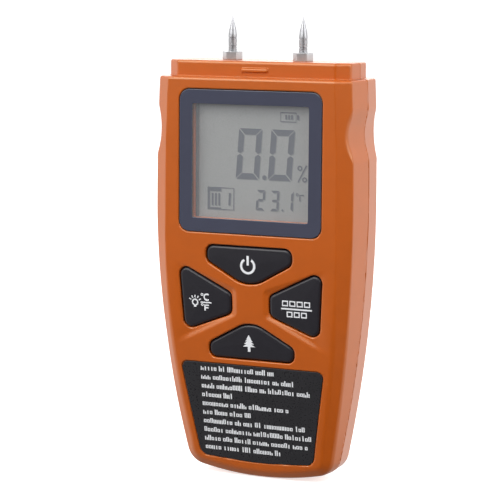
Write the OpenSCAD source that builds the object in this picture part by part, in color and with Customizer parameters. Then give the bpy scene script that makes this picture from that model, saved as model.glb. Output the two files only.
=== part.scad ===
// Two-pin wood moisture meter: a hand-held case with a liquid crystal display, four keys,
// a printed label, two measuring pins on a stepped top and three AAA cells behind a rear door.
// Axes: X to the right, Y from front to back, Z up along the pins. The case stands on its base.

/* [Casing] */
// Overall width, across the parting line
case_w = 68.8; // [68:0.2:72]
// Overall depth, front to back
case_d = 27; // [27:0.2:29]
// Height from the base to the shoulder
case_h = 127.4; // [126.6:0.2:129]
// Wall thickness of both shells
wall = 2; // [1.8:0.1:2.2]
// Height at which the case is widest
bulge_z = 88; // [84:1:94]
// Depth of the sloping facet beside the front face
facet_d = 3.2; // [2.6:0.1:3.6]
// Width of the sloping facet beside the display
facet_w = 4.4; // [4:0.1:4.8]
// Radius of the curved base, seen from the front
base_r = 90; // [80:1:120]
// Depth of the finger scoop in each side
scoop_depth = 1.4; // [0.6:0.1:1.6]

/* [Top] */
// Height of the stepped top above the shoulder
top_h = 5.1; // [4.6:0.1:6]
// Distance between the two pins
pin_gap = 24; // [22:0.5:26]
// Length of a pin above its nut
pin_len = 11.3; // [8:0.1:12]
// Diameter of a pin
pin_d = 2.6; // [2:0.1:2.6]
// Width across the flats of a pin nut
nut_af = 5.5; // [5:0.1:6]

/* [Display] */
// Width of the display lens
lens_w = 48; // [46:0.2:49]
// Height of the display lens
lens_h = 44.6; // [43:0.2:45.4]
// Corner radius of the display lens
lens_r = 3.4; // [2:0.1:6]
// Width of the window behind the lens
window_w = 39.2; // [37:0.2:40]
// Height of the window behind the lens
window_h = 35.6; // [34:0.2:36]

/* [Keys and label] */
// Travel of a key when it is pressed
key_travel = 0.8; // [0.4:0.1:0.8]
// Gap between a key and the edge of its hole
key_gap = 0.25; // [0.15:0.05:0.35]
// Thickness of the label plate
label_t = 0.35; // [0.25:0.05:0.4]

/* [Battery door] */
// Width of the door
door_w = 36; // [35:0.2:36.4]
// Thickness of the door
door_t = 1.8; // [1.6:0.1:1.8]

/* [Hidden] */
$fn = 48;
eps = 0.05;
touch = 0.02;

case_color = "#BE5821";
key_color = "#2E2E32";
steel_color = "silver";
brass_color = "#B5A050";

// Casing: the side and front curves
front_y = -case_d / 2;
back_y = case_d / 2;
flare = 1.1;
half_w = case_w / 2 - flare;
side_r_low = 400;
side_r_up = 800;
bend_z = 89.4;
front_r = 440;
low_facet_w = 3.4;
facet_low_z = 45;
facet_rise = 40;
corner_top = 1.2;
corner_z = 9;
corner_x = 6;
corner_cut_z = 3.5;
base_edge = 2.2;
top_edge = 0.6;
rear_shoulder_y = back_y - 4.5;
rear_inset = 0.4;
rear_facet_w = 4;
rear_base_edge = 2.5;
side_steps = 10;
corner_steps = 5;
base_steps = 4;
scoop_z = 111;
scoop_half = 6.7;

// Top block
block_front = 9.7;
block_half = 31;
block_flat = 26.5;
block_facet_y = 6.4;
block_facet_x = 30.6;
block_top = case_h + top_h;
rib_w = 8.8;
rib_h = 1.2;
rib_out = 0.6;
rib_z = case_h + 1.7;

// Pins
nut_h = 2.6;
nut_top = block_top + nut_h;
stud_r = 1.5;
stud_z = 121;
thread_gap = 0.05;
stud_clear = 0.6;
shank_len = 5;
ogive_len = 3.4;
ogive_r = 0.72;
carrier_z = [case_h - 10.4, case_h + 1.8];
carrier_w = pin_gap + 11;
carrier_d = 10;
carrier_rib_x = [-8, 6];
carrier_rib_w = 2;
bush_r = 3;
bush_flange_r = 3.8;
bush_flange_h = 0.8;
tail_r = 2.2;
tail_len = 4;
lug_r = 4;
lug_t = 0.8;
lug_tab = 4;
lug_tab_w = 2.4;
lug_z = carrier_z[0] - 1.6;

// Display stack, by the depth of each layer
lens_mid_z = 101.4;
lens_back = front_y + 1.65;
lens_t = 1.3;
tape_t = 0.2;
seat_back = front_y + 3.1;
seat_margin = 1.4;
fit_gap = 0.15;
window_r = 0.6;
lcd_w = 42.4;
lcd_h = 40;
lcd_t = 2;
lcd_y = seat_back + 0.25;
frame_w = 45.6;
frame_h = 43.4;
frame_t = 1.2;
board_y = front_y + 8.5;
board_t = 1.6;
board_w = 46;
board_z = [34, 113];
board_back = board_y + board_t;
panel_w = 40;
panel_z = [84.2, 118.4];
panel_y = [lcd_y + lcd_t + 0.2, board_y - 0.3];
led_w = 3.2;
led_h = 2;
led_t = 1.4;
led_gap = 0.2;
zebra_w = 38;
zebra_z = [119, 121];

// Keys: height of the lower edge, corner points and corner radii in X and Z
key_power_low = 62.1;
key_side_low = 47.3;
key_tree_low = 39.3;
power_pts = [[-14.7, 75.1], [14.2, 75.1], [14.2, 70.3], [-0.2, key_power_low], [-14.7, 70.3]];
power_rad = [2.4, 2.4, 2.4, 10, 2.4];
side_pts = [[6.6, 60.1], [24.3, 69], [22.9, key_side_low], [6.6, 53.8]];
side_rad = [2, 2.3, 2.5, 2.2];
tree_pts = [[0, 51.8], [14.4, 43.8], [14.4, key_tree_low], [-14.4, key_tree_low], [-14.4, 43.8]];
tree_rad = [9, 2.4, 2.4, 2.4, 2.4];
label_pts = [[-24.7, 37.1], [24.3, 37.1], [19.2, 6.2], [0, 4.9], [-19.5, 6.2]];
label_rad = [2, 2, 3, 110, 3];
label_z = [2, 44];
key_sink = 0.15;
lip_w = 1;
lip_t = 0.6;
stem_r = 2.4;
pill_r = 2.2;
pill_t = 0.6;
pill_back = board_y - 0.1 - key_travel;
web_t = 0.8;
web_back = board_y - 0.8;
web_w = 44;
web_z = [37, 78.2];
web_hole = 0.6;
key_power_c = [0, 70];
key_side_c = [15.5, 58.4];
key_tree_c = [0, 45];

// Parts on the rear of the board: positions in X and Z
mcu_at = [0, 98];
mcu_size = [10, 10, 1.5];
amplifier_at = [0, 109];
amplifier_size = [5, 4, 1.6];
smd_size = [1.2, 2, 0.7];
smd_pitch = 2.6;
smd_rows = [-17, 4];
smd_z = 88;
bypass_gap = 11;
regulator_at = [0, 80];
regulator_size = [4.5, 2.8, 1.4];
crystal_at = [12, 94];
crystal_r = 1;
crystal_len = 6;
capacitor_at = [-14, 72];
capacitor_r = 2.5;
capacitor_h = 6;
thermistor_at = [17.5, 108];
bead_r = 1.1;
bead_leg_r = 0.2;

// Fasteners
case_screw_at = [[26.4, 98], [21.9, 20]];
board_screw_at = [[21.5, 74.5], [20.5, 43]];
case_post_r = 2.8;
case_screw_r = 1.4;
case_head_r = 2.4;
case_head_h = 1.8;
case_head_y = 8;
case_screw_end = -5;
sink_r = 2.7;
board_post_r = 2.2;
board_screw_r = 0.8;
board_head_r = 1.8;
board_head_h = 1;
board_screw_end = front_y + 5;
post_root = 0.8;
screw_spare = 0.3;
screw_clear = 0.2;
sink_wall = 0.8;

// Battery bay, cells and door
bay_half = 16.8;
bay_z = [10, 62];
bay_front = -0.1;
bay_wall = 1.2;
seat_frame = 2;
cell_r = 5.25;
cell_len = 44.5;
nub_len = 1;
nub_r = 1.9;
cell_pitch = 11;
cell_y = bay_front + cell_r + 0.15;
cell_z = (bay_z[0] + bay_z[1] - cell_len) / 2;
contact_gap = cell_z - bay_z[0];
contact_slack = 0.1;
plate_t = 0.4;
plate_w = 9;
bump_r = 3;
spring_r = [3.6, 2.2];
spring_wire = 0.3;
spring_turns = 3;
tab_w = 2;
tab_y = [4.8, 5.2];
tab_len = 2.6;
tab_gap = 0.3;
slot_over = 1.2;
door_y = back_y - 0.05 - door_t;
pivot_y = door_y + door_t / 2;
pivot_z = 9.2;
door_top = 65;
door_gap = 0.25;
trunnion_r = 0.6;
trunnion_len = 1.1;
trunnion_gap = 0.08;
catch_w = 8;
catch_h = 1.3;
door_rib_w = 0.8;
door_rib_out = 0.9;
door_rib_z = [20, 50];
catch_t = 1;
catch_slit = 1;
catch_arm = 8;
wire_r = 0.5;

// ---- Shape functions ----

// Front face depth at a height: flat beside the display, curving back below it
function face_y(z) = front_y + (z < bend_z ? pow(bend_z - z, 2) / (2 * front_r) : 0);

// Half width of the case at a height
function side_x(z) = half_w - pow(z - bulge_z, 2) / (2 * (z < bulge_z ? side_r_low : side_r_up));

// Share of the full facet at a height, from 0 low down to 1 beside the display
function facet_share(z) = min(1, max(0, (z - facet_low_z) / facet_rise));

// Depth of the front facet at a height
function facet_y(z) = facet_d * (0.5 + 0.5 * min(1, max(0, z) / facet_low_z));

// Inset of a level's outline from the widest front outline, at a height
function level_dx(level, z, skin) =
    level == 0 ? low_facet_w + (facet_w - low_facet_w) * facet_share(z) + 0.4 * skin :
    level == 1 ? skin :
    level == 2 ? skin - flare :
    level == 3 ? skin - rear_inset :
    rear_facet_w + 0.4 * skin;

// Depth of a level at a height
function level_y(level, z, skin, over) =
    level == 0 ? face_y(z) + skin :
    level == 1 ? face_y(z) + facet_y(z) + 0.4 * skin :
    level == 2 ? over :
    level == 3 ? rear_shoulder_y - 0.4 * skin :
    back_y - skin;

// Height of a level's lower edge, and drop of its upper edge
function level_base(level, skin) = skin + (level == 0 ? base_edge : level == 4 ? rear_base_edge : 0);
function level_drop(level, skin) = skin + (level == 0 || level == 4 ? top_edge : 0);

function x_at(level, z, skin) = side_x(z) - level_dx(level, z, skin);
function bezier(a, b, c, t) = (1 - t) * (1 - t) * a + 2 * t * (1 - t) * b + t * t * c;
function base_at(x, low) = low + x * x / (2 * base_r);

// Right half of a level's outline in X and Z, from the top edge down to the middle of the base
function half_outline(level, skin) =
    let (top = case_h - level_drop(level, skin),
         low = level_base(level, skin),
         side_top = top - corner_top,
         side_low = low + corner_z,
         cx = x_at(level, low + corner_cut_z, skin),
         cut = [cx, base_at(cx, low)],
         foot = [cx - corner_x, base_at(cx - corner_x, low)],
         a = [x_at(level, top, skin) - corner_top, top],
         b = [x_at(level, top, skin), top],
         c = [x_at(level, side_top, skin), side_top],
         d = [x_at(level, side_low, skin), side_low])
    concat([a, bezier(a, b, c, 0.5)],
        [for (i = [0 : side_steps - 1])
            let (z = side_top + (side_low - side_top) * i / side_steps) [x_at(level, z, skin), z]],
        [for (i = [0 : corner_steps - 1]) bezier(d, cut, foot, i / corner_steps)],
        [for (i = [0 : base_steps])
            let (x = foot[0] * (1 - i / base_steps)) [x, base_at(x, low)]]);

// One closed ring of points at a level
function ring(level, skin, over) =
    let (h = half_outline(level, skin), m = len(h) - 1)
    [for (i = [0 : 2 * m])
        let (p = i <= m ? h[i] : h[2 * m - i], x = i <= m ? p[0] : -p[0])
        [x, level_y(level, p[1], skin, over), p[1]]];

// Solid between rings, from the front one to the rear one
module ring_solid(rings) {
    n = len(rings[0]);
    m = (n - 1) / 2;
    last = (len(rings) - 1) * n;
    cap = [for (i = [0 : m - 2]) each [[i, i + 1, 2 * m - i - 1], [i, 2 * m - i - 1, 2 * m - i]]];
    front_cap = concat(cap, [[m - 1, m, m + 1]]);
    rear_cap = [for (f = front_cap) [last + f[2], last + f[1], last + f[0]]];
    skin = [for (k = [0 : len(rings) - 2], i = [0 : n - 1])
        let (j = (i + 1) % n, a = k * n + i, b = k * n + j, c = a + n, d = b + n)
        each [[a, c, d], [a, d, b]]];
    polyhedron(points = [for (r = rings) each r], faces = concat(front_cap, skin, rear_cap));
}

module front_solid(skin, over) {
    ring_solid([for (level = [0 : 2]) ring(level, skin, over)]);
}

module rear_solid(skin, over) {
    ring_solid([for (level = [2 : 4]) ring(level, skin, over)]);
}

// Outline with its corners rounded by arcs: p holds the corners and r their radii
function arc_corner(a, b, c, r) =
    let (u = (a - b) / norm(a - b),
         v = (c - b) / norm(c - b),
         half = acos(max(-1, min(1, u * v))) / 2,
         mid = (u + v) / norm(u + v),
         centre = b + mid * r / sin(half),
         from = b + u * r / tan(half) - centre,
         to = b + v * r / tan(half) - centre,
         start = atan2(from[1], from[0]),
         sweep = atan2(from[0] * to[1] - from[1] * to[0], from * to))
    [for (i = [0 : 6]) let (g = start + sweep * i / 6) centre + r * [cos(g), sin(g)]];

function rounded(p, r) =
    let (n = len(p)) [for (i = [0 : n - 1])
        each arc_corner(p[(i + n - 1) % n], p[i], p[(i + 1) % n], r[i])];

function rect_pts(w, z) = [[-w / 2, z[1]], [w / 2, z[1]], [w / 2, z[0]], [-w / 2, z[0]]];
function rounded_rect(w, z, r) = rounded(rect_pts(w, z), [r, r, r, r]);

// Outline moved outwards by d; the points run clockwise seen from the front
function grow(p, d) =
    let (n = len(p)) [for (i = [0 : n - 1])
        let (t = p[(i + 1) % n] - p[(i + n - 1) % n]) p[i] + d * [-t[1], t[0]] / norm(t)];

function mirrored(p) = [for (i = [len(p) - 1 : -1 : 0]) [-p[i][0], p[i][1]]];

// Prism of an outline in X and Z between two depths
module slab(p, y) {
    translate([0, y[1], 0]) rotate([90, 0, 0]) linear_extrude(y[1] - y[0]) polygon(p);
}

module box(x, y, z) {
    translate([x[0], y[0], z[0]]) cube([x[1] - x[0], y[1] - y[0], z[1] - z[0]]);
}

// Cylinder along Y between two depths, at a point in X and Z
module post(at, r, y) {
    translate([at[0], y[1], at[1]]) rotate([90, 0, 0]) cylinder(r = r, h = y[1] - y[0]);
}

// Everything behind the curved front face, sunk by d, between two heights
module behind_face(d, z) {
    steps = 14;
    curve = [for (i = [0 : steps])
        let (h = z[0] + (z[1] - z[0]) * i / steps) [face_y(h) + d, h]];
    translate([-case_w / 2, 0, 0]) rotate([90, 0, 90])
        linear_extrude(case_w) polygon(concat(curve, [[0, z[1]], [0, z[0]]]));
}

module both_sides() {
    children();
    mirror([1, 0, 0]) children();
}

// Route with smooth bends through its points
function smooth(p, n) =
    [for (i = [0 : len(p) - 2], k = [0 : n - 1])
        let (a = p[max(0, i - 1)], b = p[i], c = p[i + 1], d = p[min(len(p) - 1, i + 2)], t = k / n)
        0.5 * (2 * b + (c - a) * t + (2 * a - 5 * b + 4 * c - d) * t * t
            + (3 * b - a - 3 * c + d) * t * t * t)];

function route(p, n) = concat(smooth(p, n), [p[len(p) - 1]]);

// Round wire swept along a route; no stretch of it may run along ref
module wire(p, r, ref, sides) {
    n = len(p);
    pts = [for (i = [0 : n - 1])
        let (t = p[min(n - 1, i + 1)] - p[max(0, i - 1)],
             u = cross(t, ref) / norm(cross(t, ref)),
             v = cross(t, u) / norm(t))
        each [for (k = [0 : sides - 1]) p[i] + r * (cos(360 * k / sides) * u + sin(360 * k / sides) * v)]];
    skin = [for (i = [0 : n - 2], k = [0 : sides - 1])
        let (a = i * sides + k, b = i * sides + (k + 1) % sides) each
        [[a, b + sides, b], [a, a + sides, b + sides]]];
    start = [for (k = [0 : sides - 1]) k];
    end = [for (k = [sides - 1 : -1 : 0]) (n - 1) * sides + k];
    polyhedron(points = pts, faces = concat([start], skin, [end]));
}

// ---- Casing ----

lens_z = [lens_mid_z - lens_h / 2, lens_mid_z + lens_h / 2];
window_z = [lens_mid_z - window_h / 2, lens_mid_z + window_h / 2];

function block_section(skin) =
    let (f = block_front - skin, h = block_half - skin, e = 0.4 * skin)
    [[-block_flat + e, -f], [block_flat - e, -f], [block_facet_x - skin, -block_facet_y + e], [h, 0],
     [block_facet_x - skin, block_facet_y - e], [block_flat - e, f], [-block_flat + e, f],
     [-block_facet_x + skin, block_facet_y - e], [-h, 0], [-block_facet_x + skin, -block_facet_y + e]];

// Stepped top, cut to the front half (side -1) or the rear half (side 1)
module block(skin, z, side, over) {
    y = side < 0 ? [-case_d, over] : [-over, case_d];
    intersection() {
        translate([0, 0, z[0]]) linear_extrude(z[1] - z[0]) polygon(block_section(skin));
        box([-case_w, case_w], y, z);
    }
}

module block_rib(side) {
    y = block_front * side;
    box([-rib_w / 2, rib_w / 2], [min(y, y + side * rib_out) - eps, max(y, y + side * rib_out) + eps],
        [rib_z, rib_z + rib_h]);
}

// Finger scoops, one in each side, grown by the wall that stays behind them
module scoops(grown) {
    r = (scoop_half * scoop_half + scoop_depth * scoop_depth) / (2 * scoop_depth);
    both_sides() post([side_x(scoop_z) - scoop_depth + r, scoop_z], r + grown, [-case_d, case_d]);
}

module pin_holes() {
    both_sides() translate([pin_gap / 2, 0, block_top - 2 * wall])
        cylinder(r = stud_r + stud_clear, h = 3 * wall);
}

// Ribs that hold the pin carrier: short ones above the display and long ones behind
module carrier_ribs(side) {
    near = carrier_d / 2 + fit_gap;
    y = side < 0 ? [-block_front + wall - eps, -near] : [near, back_y - wall + eps];
    z = side < 0 ? [lens_mid_z + frame_h / 2 + 2 * fit_gap, block_top - wall + eps]
        : [carrier_z[0] + 1, case_h - wall + eps];
    for (x = carrier_rib_x) {
        box([x, x + carrier_rib_w], y, z);
    }
}

module key_hole(p, r) {
    slab(grow(rounded(p, r), key_gap), [front_y - 1, front_y + 7]);
}

module front_shell() color(case_color) {
    difference() {
        union() {
            difference() {
                union() {
                    front_solid(0, 0);
                    block(0, [case_h - 1, block_top], -1, 0);
                    block_rib(-1);
                }
                difference() {
                    front_solid(wall, eps);
                    scoops(wall);
                }
                block(wall, [case_h - 2 * wall, block_top - wall], -1, eps);
                scoops(0);
            }
            slab(grow(rounded_rect(lens_w, lens_z, lens_r), seat_margin), [lens_back - 0.5, seat_back]);
            carrier_ribs(-1);
            both_sides() {
                for (at = case_screw_at) {
                    post(at, case_post_r, [face_y(at[1]) + wall - post_root, 0]);
                }
                for (at = board_screw_at) {
                    post(at, board_post_r, [face_y(at[1]) + wall - post_root, board_y - eps]);
                }
            }
        }
        slab(grow(rounded_rect(lens_w, lens_z, lens_r), fit_gap), [front_y - 1, lens_back]);
        slab(rounded_rect(window_w, window_z, window_r), [front_y - 1, front_y + 6]);
        intersection() {
            slab(grow(rounded(label_pts, label_rad), fit_gap), [front_y - 1, 0]);
            difference() {
                box([-case_w / 2, case_w / 2], [front_y - 1, -1], label_z);
                behind_face(label_t + eps + touch, label_z);
            }
        }
        key_hole(power_pts, power_rad);
        key_hole(side_pts, side_rad);
        key_hole(mirrored(side_pts), [for (i = [3 : -1 : 0]) side_rad[i]]);
        key_hole(tree_pts, tree_rad);
        pin_holes();
        both_sides() {
            for (at = case_screw_at) {
                post(at, case_screw_r + thread_gap, [case_screw_end - screw_spare, eps]);
            }
            for (at = board_screw_at) {
                post(at, board_screw_r + thread_gap, [board_screw_end - screw_spare, board_y]);
            }
        }
    }
}

// Opening in the back that the door fills, with its hinge holes and the catch notch
module door_opening() {
    box([-door_w / 2 - door_gap, door_w / 2 + door_gap], [door_y - door_gap / 2, back_y + 1],
        [pivot_z - door_t / 2 - door_gap, door_top + door_gap]);
    box([-catch_w / 2 - door_gap, catch_w / 2 + door_gap], [door_y - door_gap / 2, back_y + 1],
        [door_top, door_top + catch_h + door_gap]);
    translate([-door_w / 2 - trunnion_len - door_gap, pivot_y, pivot_z]) rotate([0, 90, 0])
        cylinder(r = trunnion_r + trunnion_gap, h = door_w + 2 * (trunnion_len + door_gap));
}

module rear_shell() color(case_color) {
    difference() {
        union() {
            difference() {
                union() {
                    rear_solid(0, 0);
                    block(0, [case_h - 1, block_top], 1, 0);
                    block_rib(1);
                }
                difference() {
                    rear_solid(wall, -eps);
                    scoops(wall);
                }
                block(wall, [case_h - 2 * wall, block_top - wall], 1, eps);
                scoops(0);
            }
            carrier_ribs(1);
            both_sides() for (at = case_screw_at) {
                post(at, case_post_r + sink_wall, [0, back_y - wall + eps]);
            }
            box([-bay_half - bay_wall, bay_half + bay_wall], [bay_front - bay_wall, back_y - wall + eps],
                [bay_z[0] - bay_wall, bay_z[1] + bay_wall]);
            box([-door_w / 2 - seat_frame, door_w / 2 + seat_frame],
                [door_y - seat_frame, back_y - wall + eps],
                [pivot_z - door_t - seat_frame, door_top + catch_h + seat_frame]);
        }
        box([-bay_half, bay_half], [bay_front, back_y + 1], bay_z);
        door_opening();
        pin_holes();
        for (x = [-cell_pitch, cell_pitch]) {
            z = x < 0 ? [bay_z[0] - bay_wall - slot_over, bay_z[0] + eps]
                : [bay_z[1] - eps, bay_z[1] + bay_wall + slot_over];
            box([x - tab_w / 2 - tab_gap, x + tab_w / 2 + tab_gap], tab_y + [-tab_gap, tab_gap], z);
        }
        both_sides() for (at = case_screw_at) {
            post(at, case_screw_r + screw_clear, [-1, case_head_y]);
            post(at, sink_r, [case_head_y, back_y + 1]);
        }
    }
}

module battery_door() color(case_color) {
    difference() {
        union() {
            box([-door_w / 2, door_w / 2], [door_y, door_y + door_t], [pivot_z, door_top]);
            translate([-door_w / 2, pivot_y, pivot_z]) rotate([0, 90, 0]) cylinder(d = door_t, h = door_w);
            translate([-door_w / 2 - trunnion_len, pivot_y, pivot_z]) rotate([0, 90, 0])
                cylinder(r = trunnion_r, h = door_w + 2 * trunnion_len);
            box([-catch_w / 2, catch_w / 2], [door_y, door_y + catch_t],
                [door_top - eps, door_top + catch_h]);
            for (x = [-0.5, 0.5] * cell_pitch) {
                box([x - door_rib_w / 2, x + door_rib_w / 2], [door_y - door_rib_out, door_y + eps],
                    door_rib_z);
            }
        }
        for (x = [-catch_w / 2 - catch_slit, catch_w / 2]) {
            box([x, x + catch_slit], [door_y - 1, back_y + 1], [door_top - catch_arm, door_top + 1]);
        }
    }
}

// ---- Display ----

module display_lens() color("#46485A") {
    slab(rounded_rect(lens_w, lens_z, lens_r), [lens_back - tape_t - lens_t, lens_back - tape_t]);
}

module lens_tape() color("black") {
    difference() {
        slab(rounded_rect(lens_w, lens_z, lens_r), [lens_back - tape_t, lens_back]);
        slab(rounded_rect(window_w + 1, window_z + [-0.5, 0.5], window_r), [lens_back - 1, lens_back + 1]);
    }
}

module lcd_glass() color("#98988F") {
    box([-lcd_w / 2, lcd_w / 2], [lcd_y, lcd_y + lcd_t], [lens_mid_z - lcd_h / 2, lens_mid_z + lcd_h / 2]);
}

module lcd_frame() color("white") {
    y = [lcd_y, board_y - 0.2];
    difference() {
        box([-frame_w / 2, frame_w / 2], y, [lens_mid_z - frame_h / 2, lens_mid_z + frame_h / 2]);
        box([-frame_w / 2 + frame_t, frame_w / 2 - frame_t], [y[0] - 1, y[1] + 1],
            [lens_mid_z - frame_h / 2 + frame_t, lens_mid_z + frame_h / 2 - frame_t]);
    }
}

module backlight_panel() color("#F2F2F2") {
    box([-panel_w / 2, panel_w / 2], panel_y, panel_z);
}

module backlight_led() color("#F8F4C8") {
    box([-led_w / 2, led_w / 2], [board_y - led_t, board_y - touch],
        [panel_z[0] - led_h, panel_z[0] - led_gap]);
}

module zebra_strip() color("#D9A6B8") {
    box([-zebra_w / 2, zebra_w / 2], [lcd_y + lcd_t, board_y], zebra_z);
}

module label_plate() color("#262629") {
    intersection() {
        slab(rounded(label_pts, label_rad), [front_y, 0]);
        difference() {
            behind_face(eps, label_z);
            translate([0, label_t, 0]) behind_face(eps, label_z + [-1, 1]);
        }
    }
}

// ---- Keys ----

function lip_y(low) = face_y(low - lip_w - 0.3) + wall + 0.2;

// Key head with its retaining lip and its stem; low is the height of its lower edge
module key(p, r, at, low) {
    lip = lip_y(low);
    intersection() {
        slab(rounded(p, r), [front_y, lip + eps]);
        behind_face(key_sink, [30, 80]);
    }
    slab(grow(rounded(p, r), lip_w), [lip, lip + lip_t]);
    post(at, stem_r, [lip + lip_t - eps, pill_back - pill_t]);
}

module key_power() color(key_color) key(power_pts, power_rad, key_power_c, key_power_low);
module key_mode() color(key_color) key(side_pts, side_rad, key_side_c, key_side_low);
module key_light() color(key_color) mirror([1, 0, 0]) key(side_pts, side_rad, key_side_c, key_side_low);
module key_species() color(key_color) key(tree_pts, tree_rad, key_tree_c, key_tree_low);

module pill(at) {
    post(at, pill_r, [pill_back - pill_t, pill_back]);
}

module pill_power() color("black") pill(key_power_c);
module pill_mode() color("black") pill(key_side_c);
module pill_light() color("black") mirror([1, 0, 0]) pill(key_side_c);
module pill_species() color("black") pill(key_tree_c);

module keypad_web() color("#3A3A3E") {
    y = [web_back - web_t, web_back];
    cut = [y[0] - 1, y[1] + 1];
    difference() {
        box([-web_w / 2, web_w / 2], y, web_z);
        post(key_power_c, stem_r + web_hole, cut);
        post(key_tree_c, stem_r + web_hole, cut);
        both_sides() {
            post(key_side_c, stem_r + web_hole, cut);
            for (at = board_screw_at) {
                post(at, board_post_r + 0.3, cut);
            }
        }
    }
}

// ---- Circuit board ----

module main_board() color("#2F6B3A") {
    difference() {
        box([-board_w / 2, board_w / 2], [board_y, board_back], board_z);
        both_sides() for (at = board_screw_at) {
            post(at, board_screw_r + screw_clear, [board_y - 1, board_back + 1]);
        }
    }
}

function span(middle, size) = [middle - size / 2, middle + size / 2];
function off_board(height) = [board_back + touch, board_back + height];

// Flat part on the rear of the board; size is its width, height and thickness
module on_board(at, size) {
    box(span(at[0], size[0]), off_board(size[2]), span(at[1], size[1]));
}

module mcu_chip() color("#202022") on_board(mcu_at, mcu_size);
module amplifier_chip() color("#202022") on_board(amplifier_at, amplifier_size);

module smd_parts() color("#8A7A60") {
    for (i = [0 : 5], x = smd_rows) {
        on_board([x + i * smd_pitch, smd_z], smd_size);
    }
    for (x = [-0.5, 0.5] * bypass_gap) {
        on_board([x, amplifier_at[1]], smd_size);
    }
    on_board(regulator_at, regulator_size);
}

module crystal() color(steel_color) {
    translate([crystal_at[0], board_back + crystal_r + 0.1, crystal_at[1]])
        cylinder(r = crystal_r, h = crystal_len);
}

module capacitor() color("#30405A") post(capacitor_at, capacitor_r, off_board(capacitor_h));

module thermistor() color("#3A2A1C") {
    translate([thermistor_at[0], board_back + 2 * bead_r, thermistor_at[1]]) sphere(r = bead_r);
    for (x = [-0.5, 0.5]) {
        post(thermistor_at + [x, 0], bead_leg_r, off_board(1.5 * bead_r));
    }
}

// ---- Pins ----

// Needle with a threaded stud: a straight shank, a long taper and a point
module pin() {
    translate([0, 0, stud_z]) cylinder(r = stud_r, h = nut_top - stud_z);
    translate([0, 0, nut_top]) rotate_extrude()
        polygon([[0, 0], [pin_d / 2, 0], [pin_d / 2, shank_len],
            [ogive_r, shank_len + ogive_len], [0, pin_len]]);
}

module pin_nut() {
    translate([0, 0, block_top]) difference() {
        rotate([0, 0, 15]) cylinder(d = nut_af / cos(30), h = nut_h, $fn = 6);
        translate([0, 0, -1]) cylinder(r = stud_r + thread_gap, h = nut_h + 2);
    }
}

module pin_bush() {
    top = carrier_z[1];
    difference() {
        union() {
            translate([0, 0, carrier_z[0]]) cylinder(r = bush_r, h = top - carrier_z[0]);
            translate([0, 0, top]) cylinder(r = bush_flange_r, h = bush_flange_h);
            translate([0, 0, carrier_z[0] - tail_len]) cylinder(r = tail_r, h = tail_len);
        }
        translate([0, 0, stud_z - 0.3]) cylinder(r = stud_r + thread_gap, h = 20);
    }
}

module at_left() {
    translate([-pin_gap / 2, 0, 0]) children();
}

module at_right() {
    translate([pin_gap / 2, 0, 0]) children();
}

module pin_left() color(steel_color) at_left() pin();
module pin_right() color(steel_color) at_right() pin();
module pin_nut_left() color(steel_color) at_left() pin_nut();
module pin_nut_right() color(steel_color) at_right() pin_nut();
module pin_bush_left() color(brass_color) at_left() pin_bush();
module pin_bush_right() color(brass_color) at_right() pin_bush();

module pin_carrier() color("ivory") {
    difference() {
        box([-carrier_w / 2, carrier_w / 2], [-carrier_d / 2, carrier_d / 2], carrier_z);
        both_sides() translate([pin_gap / 2, 0, carrier_z[0] - 1])
            cylinder(r = bush_r + thread_gap, h = 20);
    }
}

module probe_lugs() color(brass_color) {
    both_sides() translate([pin_gap / 2, 0, lug_z]) difference() {
        union() {
            cylinder(r = lug_r, h = lug_t);
            translate([-lug_tab_w / 2, 0, 0]) cube([lug_tab_w, lug_r + lug_tab, lug_t]);
        }
        translate([0, 0, -1]) cylinder(r = tail_r + thread_gap, h = lug_t + 2);
    }
}

// Lead from a lug's tab down to the board
module probe_lead() {
    x = pin_gap / 2;
    y = board_back + wire_r;
    wire(route([[x, 7, lug_z - wire_r - touch], [x - 0.3, 6.8, lug_z - 3], [x - 2, 4, lug_z - 6.4],
        [x - 3.6, y + 2.4, lug_z - 10.4], [x - 4, y, lug_z - 13.4]], 4), wire_r, [1, 0, 0], 8);
}

module probe_lead_left() color("white") mirror([1, 0, 0]) probe_lead();
module probe_lead_right() color("white") probe_lead();

// ---- Battery ----

// AAA cell with its positive nub at the top
module cell() {
    cylinder(r = cell_r, h = cell_len - nub_len);
    translate([0, 0, cell_len - nub_len - eps]) cylinder(r = nub_r, h = nub_len + eps);
}

// The outer cells point up and the middle one points down
module cell_left() color("#2A3A52") translate([-cell_pitch, cell_y, cell_z]) cell();
module cell_right() color("#2A3A52") translate([cell_pitch, cell_y, cell_z]) cell();
module cell_middle() color("#2A3A52") translate([0, cell_y, cell_z + cell_len]) mirror([0, 0, 1]) cell();

// Conical spring that rises from z 0 and fills the gap to the cell
module spring() {
    per_turn = 12;
    n = spring_turns * per_turn;
    root = plate_t + 0.6 * spring_wire;
    h = contact_gap - root - spring_wire - contact_slack;
    wire([for (i = [0 : n])
        let (s = i / n, r = spring_r[0] + (spring_r[1] - spring_r[0]) * s, g = 360 * i / per_turn)
        [r * cos(g), r * sin(g), root + h * s]], spring_wire, [0, 0, 1], 6);
}

module contact_base(tab) {
    box([-plate_w / 2, plate_w / 2], [-plate_w / 2, plate_w / 2], [0, plate_t]);
    if (tab) {
        box([-tab_w / 2, tab_w / 2], [tab_y[0] - cell_y, tab_y[1] - cell_y], [-tab_len, eps]);
    }
}

// One contact of each cell sits at the bottom of the bay and one at the top
module at_bottom(x) {
    translate([x, cell_y, bay_z[0] + touch]) children();
}

module at_top(x) {
    translate([x, cell_y, bay_z[1] - touch]) mirror([0, 0, 1]) children();
}

module contact_springs() color(steel_color) {
    at_bottom(-cell_pitch) {
        contact_base(true);
        spring();
    }
    at_bottom(cell_pitch) {
        contact_base(false);
        spring();
    }
    at_top(0) {
        contact_base(false);
        spring();
    }
}

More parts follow.
